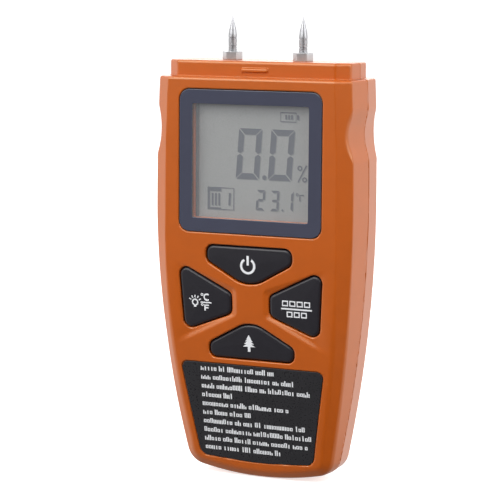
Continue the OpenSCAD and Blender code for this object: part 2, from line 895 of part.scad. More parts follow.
module contact_bump(tab) {
    contact_base(tab);
    cylinder(r1 = bump_r, r2 = bump_r - 1, h = contact_gap - contact_slack);
}

module contact_plates() color(steel_color) {
    at_bottom(0) contact_bump(false);
    at_top(-cell_pitch) contact_bump(false);
    at_top(cell_pitch) contact_bump(true);
}

module battery_lead_pos() color("firebrick") {
    x = cell_pitch;
    z = bay_z[1] + tab_len;
    wire(route([[x, 5, z + 0.1], [x, 4.6, z + 2.4], [x - 0.6, 1.5, z + 5.9],
        [x - 1.4, board_back + wire_r, z + 9.4]], 4), wire_r, [1, 0, 0], 8);
}

module battery_lead_neg() color("#202020") {
    x = -cell_pitch;
    y = bay_front - bay_wall - wire_r;
    z = bay_z[0] - tab_len;
    wire(route([[x, 5, z - 0.1], [x, 3.2, z - 1.3], [x, y + 1.4, z - 0.8],
        [x + 0.2, y - 0.4, z + 3.6], [x + 0.6, y - 0.55, z + 12.6], [x + 1.4, y - 0.55, z + 22.6],
        [x + 2, board_back + wire_r, z + 30.6]], 4), wire_r, [1, 0, 0], 8);
}

// ---- Fasteners ----

module screw(at, r, head_r, head_h, y) {
    post(at, r, [y[0], y[1] + eps]);
    post(at, head_r, [y[1], y[1] + head_h]);
}

module case_screws() color(steel_color) {
    both_sides() for (at = case_screw_at) {
        screw(at, case_screw_r, case_head_r, case_head_h, [case_screw_end, case_head_y + touch]);
    }
}

module board_screws() color(steel_color) {
    both_sides() for (at = board_screw_at) {
        screw(at, board_screw_r, board_head_r, board_head_h, [board_screw_end, board_back + touch]);
    }
}

front_shell();
rear_shell();
battery_door();
display_lens();
lens_tape();
lcd_glass();
lcd_frame();
backlight_panel();
backlight_led();
zebra_strip();
label_plate();
key_power();
key_light();
key_mode();
key_species();
pill_power();
pill_light();
pill_mode();
pill_species();
keypad_web();
main_board();
mcu_chip();
amplifier_chip();
smd_parts();
crystal();
capacitor();
thermistor();
pin_left();
pin_right();
pin_nut_left();
pin_nut_right();
pin_bush_left();
pin_bush_right();
pin_carrier();
probe_lugs();
probe_lead_left();
probe_lead_right();
cell_left();
cell_middle();
cell_right();
contact_springs();
contact_plates();
battery_lead_pos();
battery_lead_neg();
case_screws();
board_screws();
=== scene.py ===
"""Looks of a two-pin moisture meter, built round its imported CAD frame.

The shape functions work in millimetres in the CAD frame: X to the right, Y to the back, Z up.
A solid is a signed distance, negative inside, and solid_mesh() turns it into a mesh.
"""

import math
import random

import bmesh
import bpy
import numpy as np
from mathutils import Matrix, Vector


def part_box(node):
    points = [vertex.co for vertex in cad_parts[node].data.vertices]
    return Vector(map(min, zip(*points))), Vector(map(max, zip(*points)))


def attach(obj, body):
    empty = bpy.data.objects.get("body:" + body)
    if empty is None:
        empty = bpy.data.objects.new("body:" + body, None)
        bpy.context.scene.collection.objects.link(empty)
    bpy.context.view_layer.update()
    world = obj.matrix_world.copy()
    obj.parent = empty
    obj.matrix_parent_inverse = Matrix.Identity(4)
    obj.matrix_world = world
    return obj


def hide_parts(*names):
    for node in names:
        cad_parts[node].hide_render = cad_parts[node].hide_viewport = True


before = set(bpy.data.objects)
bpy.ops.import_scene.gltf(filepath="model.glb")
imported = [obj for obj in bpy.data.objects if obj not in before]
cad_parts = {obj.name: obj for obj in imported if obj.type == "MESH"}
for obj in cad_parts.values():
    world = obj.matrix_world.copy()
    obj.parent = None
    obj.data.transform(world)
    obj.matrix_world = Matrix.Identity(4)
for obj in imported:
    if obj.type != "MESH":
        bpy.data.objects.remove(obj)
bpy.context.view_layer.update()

MM = 0.001


def box_mm(node):
    """Lowest and highest corner of a CAD node, in millimetres."""
    return [np.array(corner_m) / MM for corner_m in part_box(node)]


# ---- Dimensions, from the frame where it has them ----

(_, FRONT_Y, _), (_, _, BLOCK_TOP) = box_mm("front_shell")
BACK_Y = box_mm("rear_shell")[1][1]
STEP = 5.1                      # height of the stepped top
SHOULDER = BLOCK_TOP - STEP
WALL = 2.0
FLARE = 1.1                     # how far the halves' meeting edge stands out from the face's edge
REAR_TAPER = 0.7                # how much of that the side loses again towards the back
HALF_W = box_mm("front_shell")[1][0] - FLARE
BULGE_Z, SIDE_R_LOW, SIDE_R_UP = 88.0, 400.0, 800.0
BEND_Z, FACE_R = 89.4, 440.0    # below that height the face curves back
FACET_DEPTH = 3.2
BASE_R, FOOT_R, FOOT_COS = 90.0, 7.0, 0.47
REAR_SHOULDER = BACK_Y - 4.5
SEAM = 0.004                    # half of the parting line's gap
SCOOP_Z, SCOOP_HALF, SCOOP_DEEP = 111.0, 6.7, 1.4
BLOCK_Y, BLOCK_X = 9.7, 31.0    # stepped top: half depth, half width
BLOCK_FLAT = 26.5
BLOCK_FACET = (30.6, 6.4)
BLOCK_FOOT = 110.0              # it starts this low, inside the case
PIN_X = 12.0
PIN_HOLE, PIN_HOLE_DEEP = 2.1, 4.0
(_, _, NUT_Z), (_, _, NUT_TOP) = box_mm("pin_nut_left")
NUT_FLATS = 5.5                 # across flats, as on an M3 nut

LENS_LO, LENS_HI = box_mm("display_lens")
LENS_Z = (LENS_LO[2] + LENS_HI[2]) / 2
LENS_HALF = (LENS_HI[0], (LENS_HI[2] - LENS_LO[2]) / 2)
LENS_R = 3.4
LENS_SEAT = LENS_HI[1] + 0.2
WINDOW_HALF, WINDOW_R = (19.6, 17.8), 0.6
LCD_LO, LCD_HI = box_mm("lcd_glass")

# Outlines: corners clockwise from the front, and their radii
POWER_LOW, SIDE_LOW, TREE_LOW = 62.1, 47.3, 39.3
POWER_CORNERS = [(-14.7, 75.1), (14.2, 75.1), (14.2, 70.3), (-0.2, POWER_LOW), (-14.7, 70.3)]
POWER_RADII = [2.4, 2.4, 2.4, 10, 2.4]
SIDE_CORNERS = [(6.6, 60.1), (24.3, 69.0), (22.9, SIDE_LOW), (6.6, 53.8)]
SIDE_RADII = [2, 2.3, 2.5, 2.2]
TREE_CORNERS = [(0, 51.8), (14.4, 43.8), (14.4, TREE_LOW), (-14.4, TREE_LOW), (-14.4, 43.8)]
TREE_RADII = [9, 2.4, 2.4, 2.4, 2.4]
LABEL_CORNERS = [(-24.7, 37.1), (24.3, 37.1), (19.2, 6.2), (0, 4.9), (-19.5, 6.2)]
LABEL_RADII = [2, 2, 3, 110, 3]
LABEL_T = 0.35
KEY_GAP = 0.3
KEY_SINK = 0.15
KEY_STEM = 2.4

CASE_SCREWS = [(26.4, 98), (21.9, 20)]
BOARD_SCREWS = [(21.5, 74.5), (20.5, 43)]
CASE_POST, CASE_BORE = 2.8, 1.45            # front half
CASE_BOSS, CASE_PASS, CASE_SINK = 3.6, 1.6, 2.7     # rear half
CASE_SINK_Y = 8.0
BOARD_POST, BOARD_BORE = 2.2, 0.85
BOARD_Y = box_mm("main_board")[0][1]

DOOR_LO, DOOR_HI = box_mm("battery_door")
DOOR_HALF = 18.0
DOOR_T = 1.8
DOOR_TOP = 65.0
DOOR_GAP = 0.25
PIVOT_Z = 9.2
PIVOT_Y = DOOR_HI[1] - DOOR_T / 2
TRUNNION_R, TRUNNION_LEN = 0.6, 1.1
PIVOT_BORE, PIVOT_BORE_LEN = 0.85, 1.45
CATCH_HALF = 4.0
BAY_HALF, BAY_Z, BAY_FRONT, BAY_WALL = 16.8, (10.0, 62.0), -0.1, 1.2


# ---- Signed distances ----

def corner(a, b, cos=0.0, r=0.3):
    """Where two solids overlap, with the edge between their faces rounded.

    cos is that of the angle between the faces' normals.
    """
    u, v = a + r, b + r
    arc = (u > cos * v) & (v > cos * u)
    round_off = np.sqrt(np.maximum(u * u + v * v - 2 * cos * u * v, 0) / (1 - cos * cos)) - r
    return np.where(arc, round_off, np.maximum(a, b))


def carve(solid, tool, r=0.3):
    return corner(solid, -tool, 0.0, r)


def outline(corners, radii):
    """Distance in X and Z to a convex outline with rounded corners."""
    planes = []
    for (ax, az), (bx, bz) in zip(corners, corners[1:] + corners[:1]):
        length = math.hypot(bx - ax, bz - az)
        nx, nz = (az - bz) / length, (bx - ax) / length
        planes.append((nx, nz, nx * ax + nz * az))

    def distance(x, z):
        sides = [nx * x + nz * z - c for nx, nz, c in planes]
        result = None
        for i, radius in enumerate(radii):
            cos = planes[i - 1][0] * planes[i][0] + planes[i - 1][1] * planes[i][1]
            here = corner(sides[i - 1], sides[i], cos, radius)
            result = here if result is None else np.maximum(result, here)
        return result

    return distance


POWER = outline(POWER_CORNERS, POWER_RADII)
SIDE = outline(SIDE_CORNERS, SIDE_RADII)
SIDE_LEFT = outline([(-x, z) for x, z in SIDE_CORNERS[::-1]], SIDE_RADII[::-1])
TREE = outline(TREE_CORNERS, TREE_RADII)
LABEL = outline(LABEL_CORNERS, LABEL_RADII)
HOLLOW = outline([(4.2, 62.0), (36, 74.0), (36, 37.0), (4.2, 52.9)], [2.5, 1, 1, 2.5])
HOLLOW_DEEP, HOLLOW_SLOPE = 0.5, 2.2


def rounded_box(offsets, halves, r):
    """Distance to a box with rounded edges; offsets are the coordinates from its middle."""
    q = [np.abs(o) - h + r for o, h in zip(offsets, halves)]
    outside = np.sqrt(sum(np.maximum(a, 0) ** 2 for a in q))
    return outside + np.minimum(np.maximum.reduce(q), 0) - r


def slab(d, y, lo, hi, r=0.2):
    """Outline distance d made into a plate between two depths."""
    return corner(d, np.abs(y - (lo + hi) / 2) - (hi - lo) / 2, 0.0, r)


def side_x(z):
    return HALF_W - (z - BULGE_Z) ** 2 / np.where(z < BULGE_Z, 2 * SIDE_R_LOW, 2 * SIDE_R_UP)


def face_y(z):
    return FRONT_Y + np.where(z < BEND_Z, (BEND_Z - z) ** 2 / (2 * FACE_R), 0)


def smooth_step(t):
    t = np.clip(t, 0, 1)
    return t * t * (3 - 2 * t)


def facet_depth(z):
    return FACET_DEPTH * (0.5 + 0.5 * np.clip(z / 45, 0, 1))


def lean(y, z):
    """How far the side stands out from its front edge: most where the halves meet."""
    start = face_y(z) + facet_depth(z)
    ahead = FLARE * np.clip((y - start) / -start, 0, 1)
    behind = FLARE - REAR_TAPER * np.clip(y / REAR_SHOULDER, 0, 1)
    return np.where(y < 0, ahead, behind)


def flank(ax, y, z):
    """Side and base of the case."""
    base = np.hypot(ax, z - BASE_R) - BASE_R
    return corner(ax - side_x(z) - lean(y, z), base, FOOT_COS, FOOT_R)


def faceted(side, depth_in, width, depth, edge_side, edge_face):
    """Side wall, sloping facet and flat face; depth_in is the depth behind the face."""
    slant = np.hypot(width, depth)
    facet = ((side + width) * depth - depth_in * width) / slant
    solid = corner(side, facet, depth / slant, edge_side)
    return corner(solid, -depth_in, width / slant, edge_face)


def front_half(ax, y, z, sink):
    high = np.clip((z - 45) / 40, 0, 1)
    width = 3.4 + high - 1.2 * np.clip(1 - z / 12, 0, 1)
    soft = 0.35 + 2.4 * (1 - high) ** 1.5
    body = faceted(flank(ax, y, z), y - face_y(z) - sink, width, facet_depth(z), 0.3 + 0.5 * soft, soft)
    return corner(body, z - SHOULDER, 0.0, 0.8)


def rear_half(ax, y, z):
    width = 3.6 - 1.1 * np.clip(1 - z / 12, 0, 1)
    body = faceted(flank(ax, y, z), BACK_Y - y, width, BACK_Y - REAR_SHOULDER, 0.8, 1.0)
    return corner(body, z - SHOULDER, 0.0, 0.6)


def stepped_top(ax, ay, z):
    (fx, fy), dx, dy = BLOCK_FACET, BLOCK_FACET[0] - BLOCK_FLAT, BLOCK_Y - BLOCK_FACET[1]
    length = math.hypot(dx, dy)
    facet = ((ax - fx) * dy + (ay - fy) * dx) / length
    slope = (BLOCK_X - fx) / fy
    end = (ax - BLOCK_X + slope * ay) / math.hypot(1, slope)
    solid = corner(ay - BLOCK_Y, facet, dx / length, 1.5)
    solid = corner(solid, end, dy / length, 1.5)
    solid = corner(solid, z - BLOCK_TOP, 0.0, 0.8)
    return np.maximum(solid, BLOCK_FOOT - z)


def grip_rib(ax, ay, z):
    return rounded_box((ax, ay - BLOCK_Y, z - SHOULDER - 2.3), (4.4, 0.6, 0.6), 0.25)


def scoops(ax, y, z):
    r = (SCOOP_HALF ** 2 + SCOOP_DEEP ** 2) / (2 * SCOOP_DEEP)
    return np.hypot(ax - lean(y, z) - (side_x(SCOOP_Z) - SCOOP_DEEP + r), z - SCOOP_Z) - r


def key_field(x, z):
    """Distance to the nearest key's outline, and the depth of the hollows round the side keys."""
    keys, sink = np.full(x.shape, 9.0), np.zeros(x.shape)
    near = (z > 34) & (z < 80)
    ax, h = np.abs(x[near]), z[near]
    keys[near] = np.minimum(np.minimum(POWER(x[near], h), TREE(ax, h)), SIDE(ax, h))
    open_end = 1 - smooth_step((ax - 20) / 7)
    sink[near] = HOLLOW_DEEP * open_end * smooth_step(-HOLLOW(ax, h) / HOLLOW_SLOPE)
    return keys, sink


def lens_distance(x, z, grow):
    return rounded_box((x, z - LENS_Z), (LENS_HALF[0] + grow, LENS_HALF[1] + grow), LENS_R + grow)


def window_distance(x, z, grow):
    return rounded_box((x, z - LENS_Z), (WINDOW_HALF[0] + grow, WINDOW_HALF[1] + grow), WINDOW_R)


def post(ax, z, at, r):
    return np.hypot(ax - at[0], z - at[1]) - r


def pin_hole(ax, y, z):
    return np.maximum(np.hypot(ax - PIN_X, y) - PIN_HOLE, BLOCK_TOP - PIN_HOLE_DEEP - z)


def outer_shape(case, top, rib, scoop):
    """One half of the case from outside, and its wall alone."""
    outer = carve(np.minimum(case, np.minimum(top, rib)), scoop, 0.8)
    hollow = np.maximum(np.minimum(case, top) + WALL, WALL - scoop)
    return outer, np.maximum(outer, -hollow)


def front_shell(x, y, z):
    ax, (keys, sink) = np.abs(x), key_field(x, z)
    top = stepped_top(ax, -y, z)
    case = front_half(ax, y, z, sink)
    outer, shell = outer_shape(case, top, grip_rib(ax, -y, z), scoops(ax, y, z))
    seat = np.maximum(lens_distance(x, z, 1.4), np.abs(y - LENS_SEAT - 0.5) - 1)
    ribs = rounded_box((ax - 7, y + 6.45, z - 127), (1, 1.3, 3.5), 0.1)
    inside = np.minimum(seat, ribs)
    for at in CASE_SCREWS:
        inside = np.minimum(inside, np.maximum(post(ax, z, at, CASE_POST), y))
    for at in BOARD_SCREWS:
        inside = np.minimum(inside, np.maximum(post(ax, z, at, BOARD_POST), y - BOARD_Y))
    shell = np.minimum(shell, np.maximum(inside, outer))
    shell = corner(shell, y + SEAM, 0.0, 0.15)
    shell = carve(shell, np.maximum(lens_distance(x, z, 0.15), y - LENS_SEAT), 0.3)
    shell = carve(shell, np.maximum(window_distance(x, z, 0), y - FRONT_Y - 6), 0.15)
    label = np.maximum(LABEL(x, z) - 0.15, y - face_y(z) - LABEL_T - 0.07)
    shell = carve(shell, label, 0.2)
    shell = carve(shell, np.maximum(keys - KEY_GAP, y - FRONT_Y - 7), 0.4)
    shell = carve(shell, pin_hole(ax, y, z), 0.15)
    for at in CASE_SCREWS:
        shell = carve(shell, np.maximum(post(ax, z, at, CASE_BORE), -5.3 - y), 0.1)
    for at in BOARD_SCREWS:
        shell = carve(shell, np.maximum(post(ax, z, at, BOARD_BORE), FRONT_Y + 4.7 - y), 0.1)
    return shell


def door_opening(ax, y, z):
    mouth = rounded_box((ax, z - (PIVOT_Z - DOOR_T / 2 + DOOR_TOP) / 2),
                        (DOOR_HALF + DOOR_GAP, (DOOR_TOP - PIVOT_Z + DOOR_T / 2) / 2 + DOOR_GAP), 0.6)
    catch = rounded_box((ax, z - DOOR_TOP - 0.8), (CATCH_HALF + DOOR_GAP, 0.8), 0.3)
    opening = np.maximum(np.minimum(mouth, catch), DOOR_HI[1] - DOOR_T - 0.12 - y)
    bore = np.maximum(np.hypot(y - PIVOT_Y, z - PIVOT_Z) - PIVOT_BORE, ax - DOOR_HALF - PIVOT_BORE_LEN)
    return np.minimum(opening, bore)


def rear_shell(x, y, z):
    ax = np.abs(x)
    top = stepped_top(ax, y, z)
    case = rear_half(ax, y, z)
    _, shell = outer_shape(case, top, grip_rib(ax, y, z), scoops(ax, y, z))
    bay_mid, bay_half = sum(BAY_Z) / 2, (BAY_Z[1] - BAY_Z[0]) / 2
    bay = rounded_box((ax, z - bay_mid), (BAY_HALF + BAY_WALL, bay_half + BAY_WALL), 0.5)
    inside = np.maximum(bay, BAY_FRONT - BAY_WALL - y)
    ribs = rounded_box((ax - 7, y - 8.4, z - 122), (1, 3.2, 3.5), 0.1)
    inside = np.minimum(inside, ribs)
    for at in CASE_SCREWS:
        inside = np.minimum(inside, np.maximum(post(ax, z, at, CASE_BOSS), -y))
    seat = rounded_box((ax, z - 37.5), (DOOR_HALF + 2, 31.5), 0.5)
    inside = np.minimum(inside, np.maximum(seat, DOOR_HI[1] - DOOR_T - 2 - y))
    limit = np.where(y > SEAM, case, -1)
    shell = corner(shell, SEAM - y, 0.0, 0.15)
    shell = np.minimum(shell, np.maximum(inside, np.maximum(limit, y - BACK_Y)))
    pocket = rounded_box((ax, z - bay_mid), (BAY_HALF, bay_half), 0.4)
    shell = carve(shell, np.maximum(pocket, BAY_FRONT - y), 0.15)
    shell = carve(shell, door_opening(ax, y, z), 0.25)
    shell = carve(shell, pin_hole(ax, y, z), 0.15)
    for at in CASE_SCREWS:
        shell = carve(shell, post(ax, z, at, CASE_PASS), 0.1)
        shell = carve(shell, np.maximum(post(ax, z, at, CASE_SINK), CASE_SINK_Y - y), 0.3)
    return shell


def door_shape(x, y, z):
    ax = np.abs(x)
    front, back = DOOR_HI[1] - DOOR_T, DOOR_HI[1]
    panel = rounded_box((x, y - PIVOT_Y, z - (PIVOT_Z + DOOR_TOP) / 2),
                        (DOOR_HALF, DOOR_T / 2, (DOOR_TOP - PIVOT_Z) / 2), 0.25)
    from_pivot = np.hypot(y - PIVOT_Y, z - PIVOT_Z)
    knuckle = corner(from_pivot - DOOR_T / 2, ax - DOOR_HALF, 0, 0.2)
    trunnion = corner(from_pivot - TRUNNION_R, ax - DOOR_HALF - TRUNNION_LEN, 0, 0.15)
    catch = rounded_box((x, y - front - 0.5, z - DOOR_TOP + 0.2), (CATCH_HALF, 0.5, 1.5), 0.2)
    solid = np.minimum(np.minimum(panel, knuckle), np.minimum(trunnion, catch))
    for at in (-5.5, 5.5):
        rib = rounded_box((x - at, y - front + 0.2, z - 35), (0.4, 0.7, 15), 0.2)
        solid = np.minimum(solid, rib)
    slit = rounded_box((ax - 4.5, z - DOOR_TOP + 3), (0.5, 5), 0.3)
    solid = carve(solid, slit, 0.15)
    for i in range(6):                                  # finger grooves below the catch
        bend = 0.03 * x * x
        groove = np.hypot(y - back - 0.35, z - 52 + 1.9 * i + bend) - 0.75
        solid = carve(solid, np.maximum(groove, ax - 9 + 0.6 * i), 0.2)
    return solid


def key_shape(distance, low, at, stem_end):
    """Key head with a soft rim, its lip behind the shell and its stem."""
    lip = float(face_y(np.array(low - 1.3))) + WALL + 0.2

    def shape(x, y, z):
        d = distance(x, z)
        crown = 0.12 * np.clip(-d / 5, 0, 1)
        head = np.maximum(corner(d, face_y(z) + KEY_SINK + 0.12 - crown - y, 0.0, 0.85), y - lip - 0.1)
        rim = slab(d - 1, y, lip, lip + 0.6, 0.15)
        stem = np.maximum(post(x, z, at, KEY_STEM), np.maximum(lip + 0.5 - y, y - stem_end))
        return np.minimum(head, np.minimum(rim, stem))

    return shape


def nut_shape(x, y, z):
    """Hexagon nut with chamfered ends, its bore along Z and its middle on the axis."""
    turned = math.radians(15)
    hexagon = np.maximum.reduce([
        np.abs(x * math.cos(turned + a) + y * math.sin(turned + a)) - NUT_FLATS / 2
        for a in (math.radians(30), math.radians(90), math.radians(150))])
    r = np.hypot(x, y)
    chamfer = np.maximum(r + 1.7 * (z - NUT_TOP), r - 1.7 * (z - NUT_Z)) / 2 - 1.48
    solid = corner(hexagon, np.maximum(z - NUT_TOP, NUT_Z - z), 0.0, 0.08)
    solid = corner(solid, chamfer, 0.5, 0.06)
    thread = 0.09 * np.abs(((z / 0.5 + np.arctan2(y, x) / (2 * math.pi)) % 1) * 2 - 1)
    return carve(solid, r - 1.5 - thread - 0.25 * np.clip(1.2 * (z - NUT_TOP + 0.25), 0, 1), 0.05)


def screw_shape(head_r, head_t, shank_r, shank_len, pitch):
    """Pan-head screw with a cross recess; its head's underside is at y 0 and its shank runs to -y."""
    def shape(x, y, z):
        r = np.hypot(x, z)
        dome = np.hypot(r, y - head_t + 2.2 * head_r) - 2.2 * head_r
        head = corner(corner(r - head_r, dome, 0.3, 0.3 * head_t), -y, 0.0, 0.05)
        thread = pitch * 0.35 * np.abs(((y / pitch + np.arctan2(z, x) / (2 * math.pi)) % 1) * 2 - 1)
        shank = np.maximum(np.maximum(r - shank_r + thread, (r - 0.9 * (y + shank_len)) / 1.35), y - 0.1)
        solid = np.minimum(head, shank)
        arm, deep = 0.13 * head_r, 0.62 * head_t
        cross = np.minimum(np.maximum(np.abs(x) - arm, np.abs(z) - 0.55 * head_r),
                           np.maximum(np.abs(z) - arm, np.abs(x) - 0.55 * head_r))
        taper = 0.4 * (head_t - y)
        return carve(solid, np.maximum(cross + taper * 0.35, head_t - deep - y), 0.05)

    return shape


# ---- Meshing ----

BLOCK = 6            # grid points along a side of a block


def solid_mesh(name, shape, low, high, cell, keep=1.0):
    """Closed mesh of the solid, from surface nets on a grid of cells.

    keep is the share of its faces that stays.
    """
    low = np.array(low, float) - 1.5 * cell
    blocks = np.ceil((np.array(high) + 1.5 * cell - low) / (cell * BLOCK)).astype(int)
    middles = [low[a] + (np.arange(blocks[a]) * BLOCK + (BLOCK - 1) / 2) * cell for a in range(3)]
    grid = np.meshgrid(*middles, indexing="ij")
    coarse = shape(*[g.ravel() for g in grid]).reshape(blocks)
    near = np.argwhere(np.abs(coarse) < cell * BLOCK * 1.15)
    values = coarse
    for a in range(3):
        values = np.repeat(values, BLOCK, axis=a)
    inner = np.stack(np.meshgrid(*[np.arange(BLOCK)] * 3, indexing="ij"), -1).reshape(-1, 3)
    for part in np.array_split(near, max(1, len(near) * len(inner) // 400_000)):
        at = (part[:, None] * BLOCK + inner).reshape(-1, 3)
        values[at[:, 0], at[:, 1], at[:, 2]] = shape(*(low + at * cell).T)
    values[values == 0] = 1e-9

    inside = values < 0
    strides = np.array([values.shape[1] * values.shape[2], values.shape[2], 1])
    flat = values.ravel()
    cells, crossings, quads = [], [], []
    for axis in range(3):
        b, c = strides[(axis + 1) % 3], strides[(axis + 2) % 3]
        count = values.shape[axis]
        changed = np.take(inside, range(count - 1), axis) != np.take(inside, range(1, count), axis)
        start = np.argwhere(changed)
        index = start @ strides
        v0, v1 = flat[index], flat[index + strides[axis]]
        point = start.astype(float)
        point[:, axis] += v0 / (v0 - v1)
        around = np.stack([index - b - c, index - c, index, index - b], 1)
        outwards = v0 < 0
        around[~outwards] = around[~outwards][:, ::-1]
        quads.append(around)
        cells.append(around.ravel())
        crossings.append(np.repeat(point, 4, axis=0))
    quads, cells, crossings = map(np.concatenate, (quads, cells, crossings))
    _, number = np.unique(cells, return_inverse=True)
    weight = np.bincount(number)
    points = np.stack([np.bincount(number, crossings[:, a]) / weight for a in range(3)], 1)
    points = low + points * cell
    for _ in range(3):                                  # pull the points onto the surface
        slope = gradient(shape, points, 0.25 * cell)
        move = shape(*points.T)[:, None] * slope / np.maximum((slope ** 2).sum(1), 0.2)[:, None]
        points -= np.clip(move, -0.5 * cell, 0.5 * cell)
    mesh = mesh_from(name, points, number.reshape(-1, 4))
    if keep < 1:
        mesh = thinned(mesh, keep)
    co = np.zeros(len(mesh.vertices) * 3)
    mesh.vertices.foreach_get("co", co)
    normals = gradient(shape, co.reshape(-1, 3) / MM, 0.06)
    normals /= np.maximum(np.linalg.norm(normals, axis=1), 1e-9)[:, None]
    mesh.shade_smooth()
    mesh.normals_split_custom_set_from_vertices(normals)
    return mesh


def gradient(shape, points, step):
    slope = np.empty_like(points)
    for a in range(3):
        shift = np.zeros(3)
        shift[a] = step
        slope[:, a] = (shape(*(points + shift).T) - shape(*(points - shift).T)) / (2 * step)
    return slope


def mesh_from(name, points, quads):
    """Mesh of points in millimetres and four-cornered faces."""
    mesh = bpy.data.meshes.new(name)
    mesh.vertices.add(len(points))
    mesh.vertices.foreach_set("co", (points * MM).ravel())
    mesh.loops.add(4 * len(quads))
    mesh.loops.foreach_set("vertex_index", quads.ravel().astype(np.int32))
    mesh.polygons.add(len(quads))
    mesh.polygons.foreach_set("loop_start", np.arange(0, 4 * len(quads), 4, dtype=np.int32))
    mesh.update(calc_edges=True)
    return mesh


def thinned(mesh, keep):
    """The mesh with fewer faces where it is flat."""
    holder = bpy.data.objects.new("holder", mesh)
    bpy.context.scene.collection.objects.link(holder)
    modifier = holder.modifiers.new("thin", "DECIMATE")
    modifier.ratio = keep
    result = bpy.data.meshes.new_from_object(holder.evaluated_get(bpy.context.evaluated_depsgraph_get()))
    bpy.data.objects.remove(holder)
    result.name = mesh.name
    return result


def lathe(name, profile, at, segments=48):
    """Solid turned round a vertical axis at a point in X and Y, from (radius, z) pairs going upwards."""
    verts, faces = [], []
    rings = [(r, z) for r, z in profile if r > 0]
    for r, z in rings:
        for k in range(segments):
            a = 2 * math.pi * k / segments
            verts.append((at[0] + r * math.cos(a), at[1] + r * math.sin(a), z))
    for i in range(len(rings) - 1):
        for k in range(segments):
            j = (k + 1) % segments
            low, high = i * segments, (i + 1) * segments
            faces.append((low + k, low + j, high + j, high + k))
    for end, ring in ((profile[0][1], 0), (profile[-1][1], len(rings) - 1)):
        tip = len(verts)
        verts.append((at[0], at[1], end))
        for k in range(segments):
            pair = (ring * segments + k, ring * segments + (k + 1) % segments)
            faces.append((tip, *(pair[::-1] if ring == 0 else pair)))
    mesh = bpy.data.meshes.new(name)
    mesh.from_pydata([Vector(v) * MM for v in verts], [], faces)
    mesh.shade_smooth()
    mesh.set_sharp_from_angle(angle=math.radians(28))
    return mesh


class Print:
    """Flat shapes in X and Z, made into one thin closed mesh that follows a surface."""

    def __init__(self):
        self.points, self.faces = [], []

    def area(self, points):
        start = len(self.points)
        self.points += points
        self.faces.append(list(range(start, start + len(points))))

    def line(self, points, width, closed=False):
        count, start = len(points), len(self.points)
        for i, (x, z) in enumerate(points):
            before = points[i - 1] if i or closed else points[i]
            after = points[(i + 1) % count] if i < count - 1 or closed else points[i]
            tx, tz = after[0] - before[0], after[1] - before[1]
            length = math.hypot(tx, tz)
            px, pz = -tz / length * width / 2, tx / length * width / 2
            self.points += [(x + px, z + pz), (x - px, z - pz)]
        for i in range(count if closed else count - 1):
            a, b = start + 2 * i, start + 2 * ((i + 1) % count)
            self.faces.append([a, b, b + 1, a + 1])

    def bar(self, x, z, w, h):
        """Rectangle with its lower left corner there."""
        self.area([(x, z + h), (x + w, z + h), (x + w, z), (x, z)])

    def mesh(self, name, depth, thick=0.03):
        count = len(self.points)
        x, z = np.array(self.points, float).T
        front = np.stack([x, depth(x, z) - thick, z], 1)
        back = np.stack([x, depth(x, z) + 0.02, z], 1)
        edges = {}
        faces = [f[::-1] if self.turn(f) < 0 else f for f in self.faces]
        for f in faces:
            for a, b in zip(f, f[1:] + f[:1]):
                edges[(a, b)] = (b, a) not in edges
                if (b, a) in edges:
                    edges[(b, a)] = False
        sides = [(b, a, a + count, b + count) for (a, b), outer in edges.items() if outer]
        made = bpy.data.meshes.new(name)
        every = faces + [[i + count for i in f[::-1]] for f in faces] + sides
        made.from_pydata([Vector(p) * MM for p in np.concatenate([front, back])], [], every)
        return made

    def turn(self, face):
        """Positive where the face runs counter-clockwise seen from the front."""
        p = [self.points[i] for i in face]
        return sum(a[0] * b[1] - b[0] * a[1] for a, b in zip(p, p[1:] + p[:1]))


def arc(cx, cz, r, start, end, steps=24):
    angles = [math.radians(start + (end - start) * i / steps) for i in range(steps + 1)]
    return [(cx + r * math.cos(a), cz + r * math.sin(a)) for a in angles]


def ring(cx, cz, r, steps=32):
    return arc(cx, cz, r, 0, 360 - 360 / steps, steps - 1)


# ---- Materials ----

MOST_WEAR = 0.3                 # share of the worn colour at an edge
RELIEF = 0.0001                 # depth of the grain at full bump, in metres


def linear(color):
    """An sRGB colour from 0 to 255 as linear light."""
    return [(c / 255 / 12.92 if c <= 10 else ((c / 255 + 0.055) / 1.055) ** 2.4) for c in color] + [1.0]


def with_inputs(node, **inputs):
    """The node with its sockets set; a name has _ for each space."""
    for socket, value in inputs.items():
        node.inputs[socket.replace("_", " ")].default_value = value
    return node


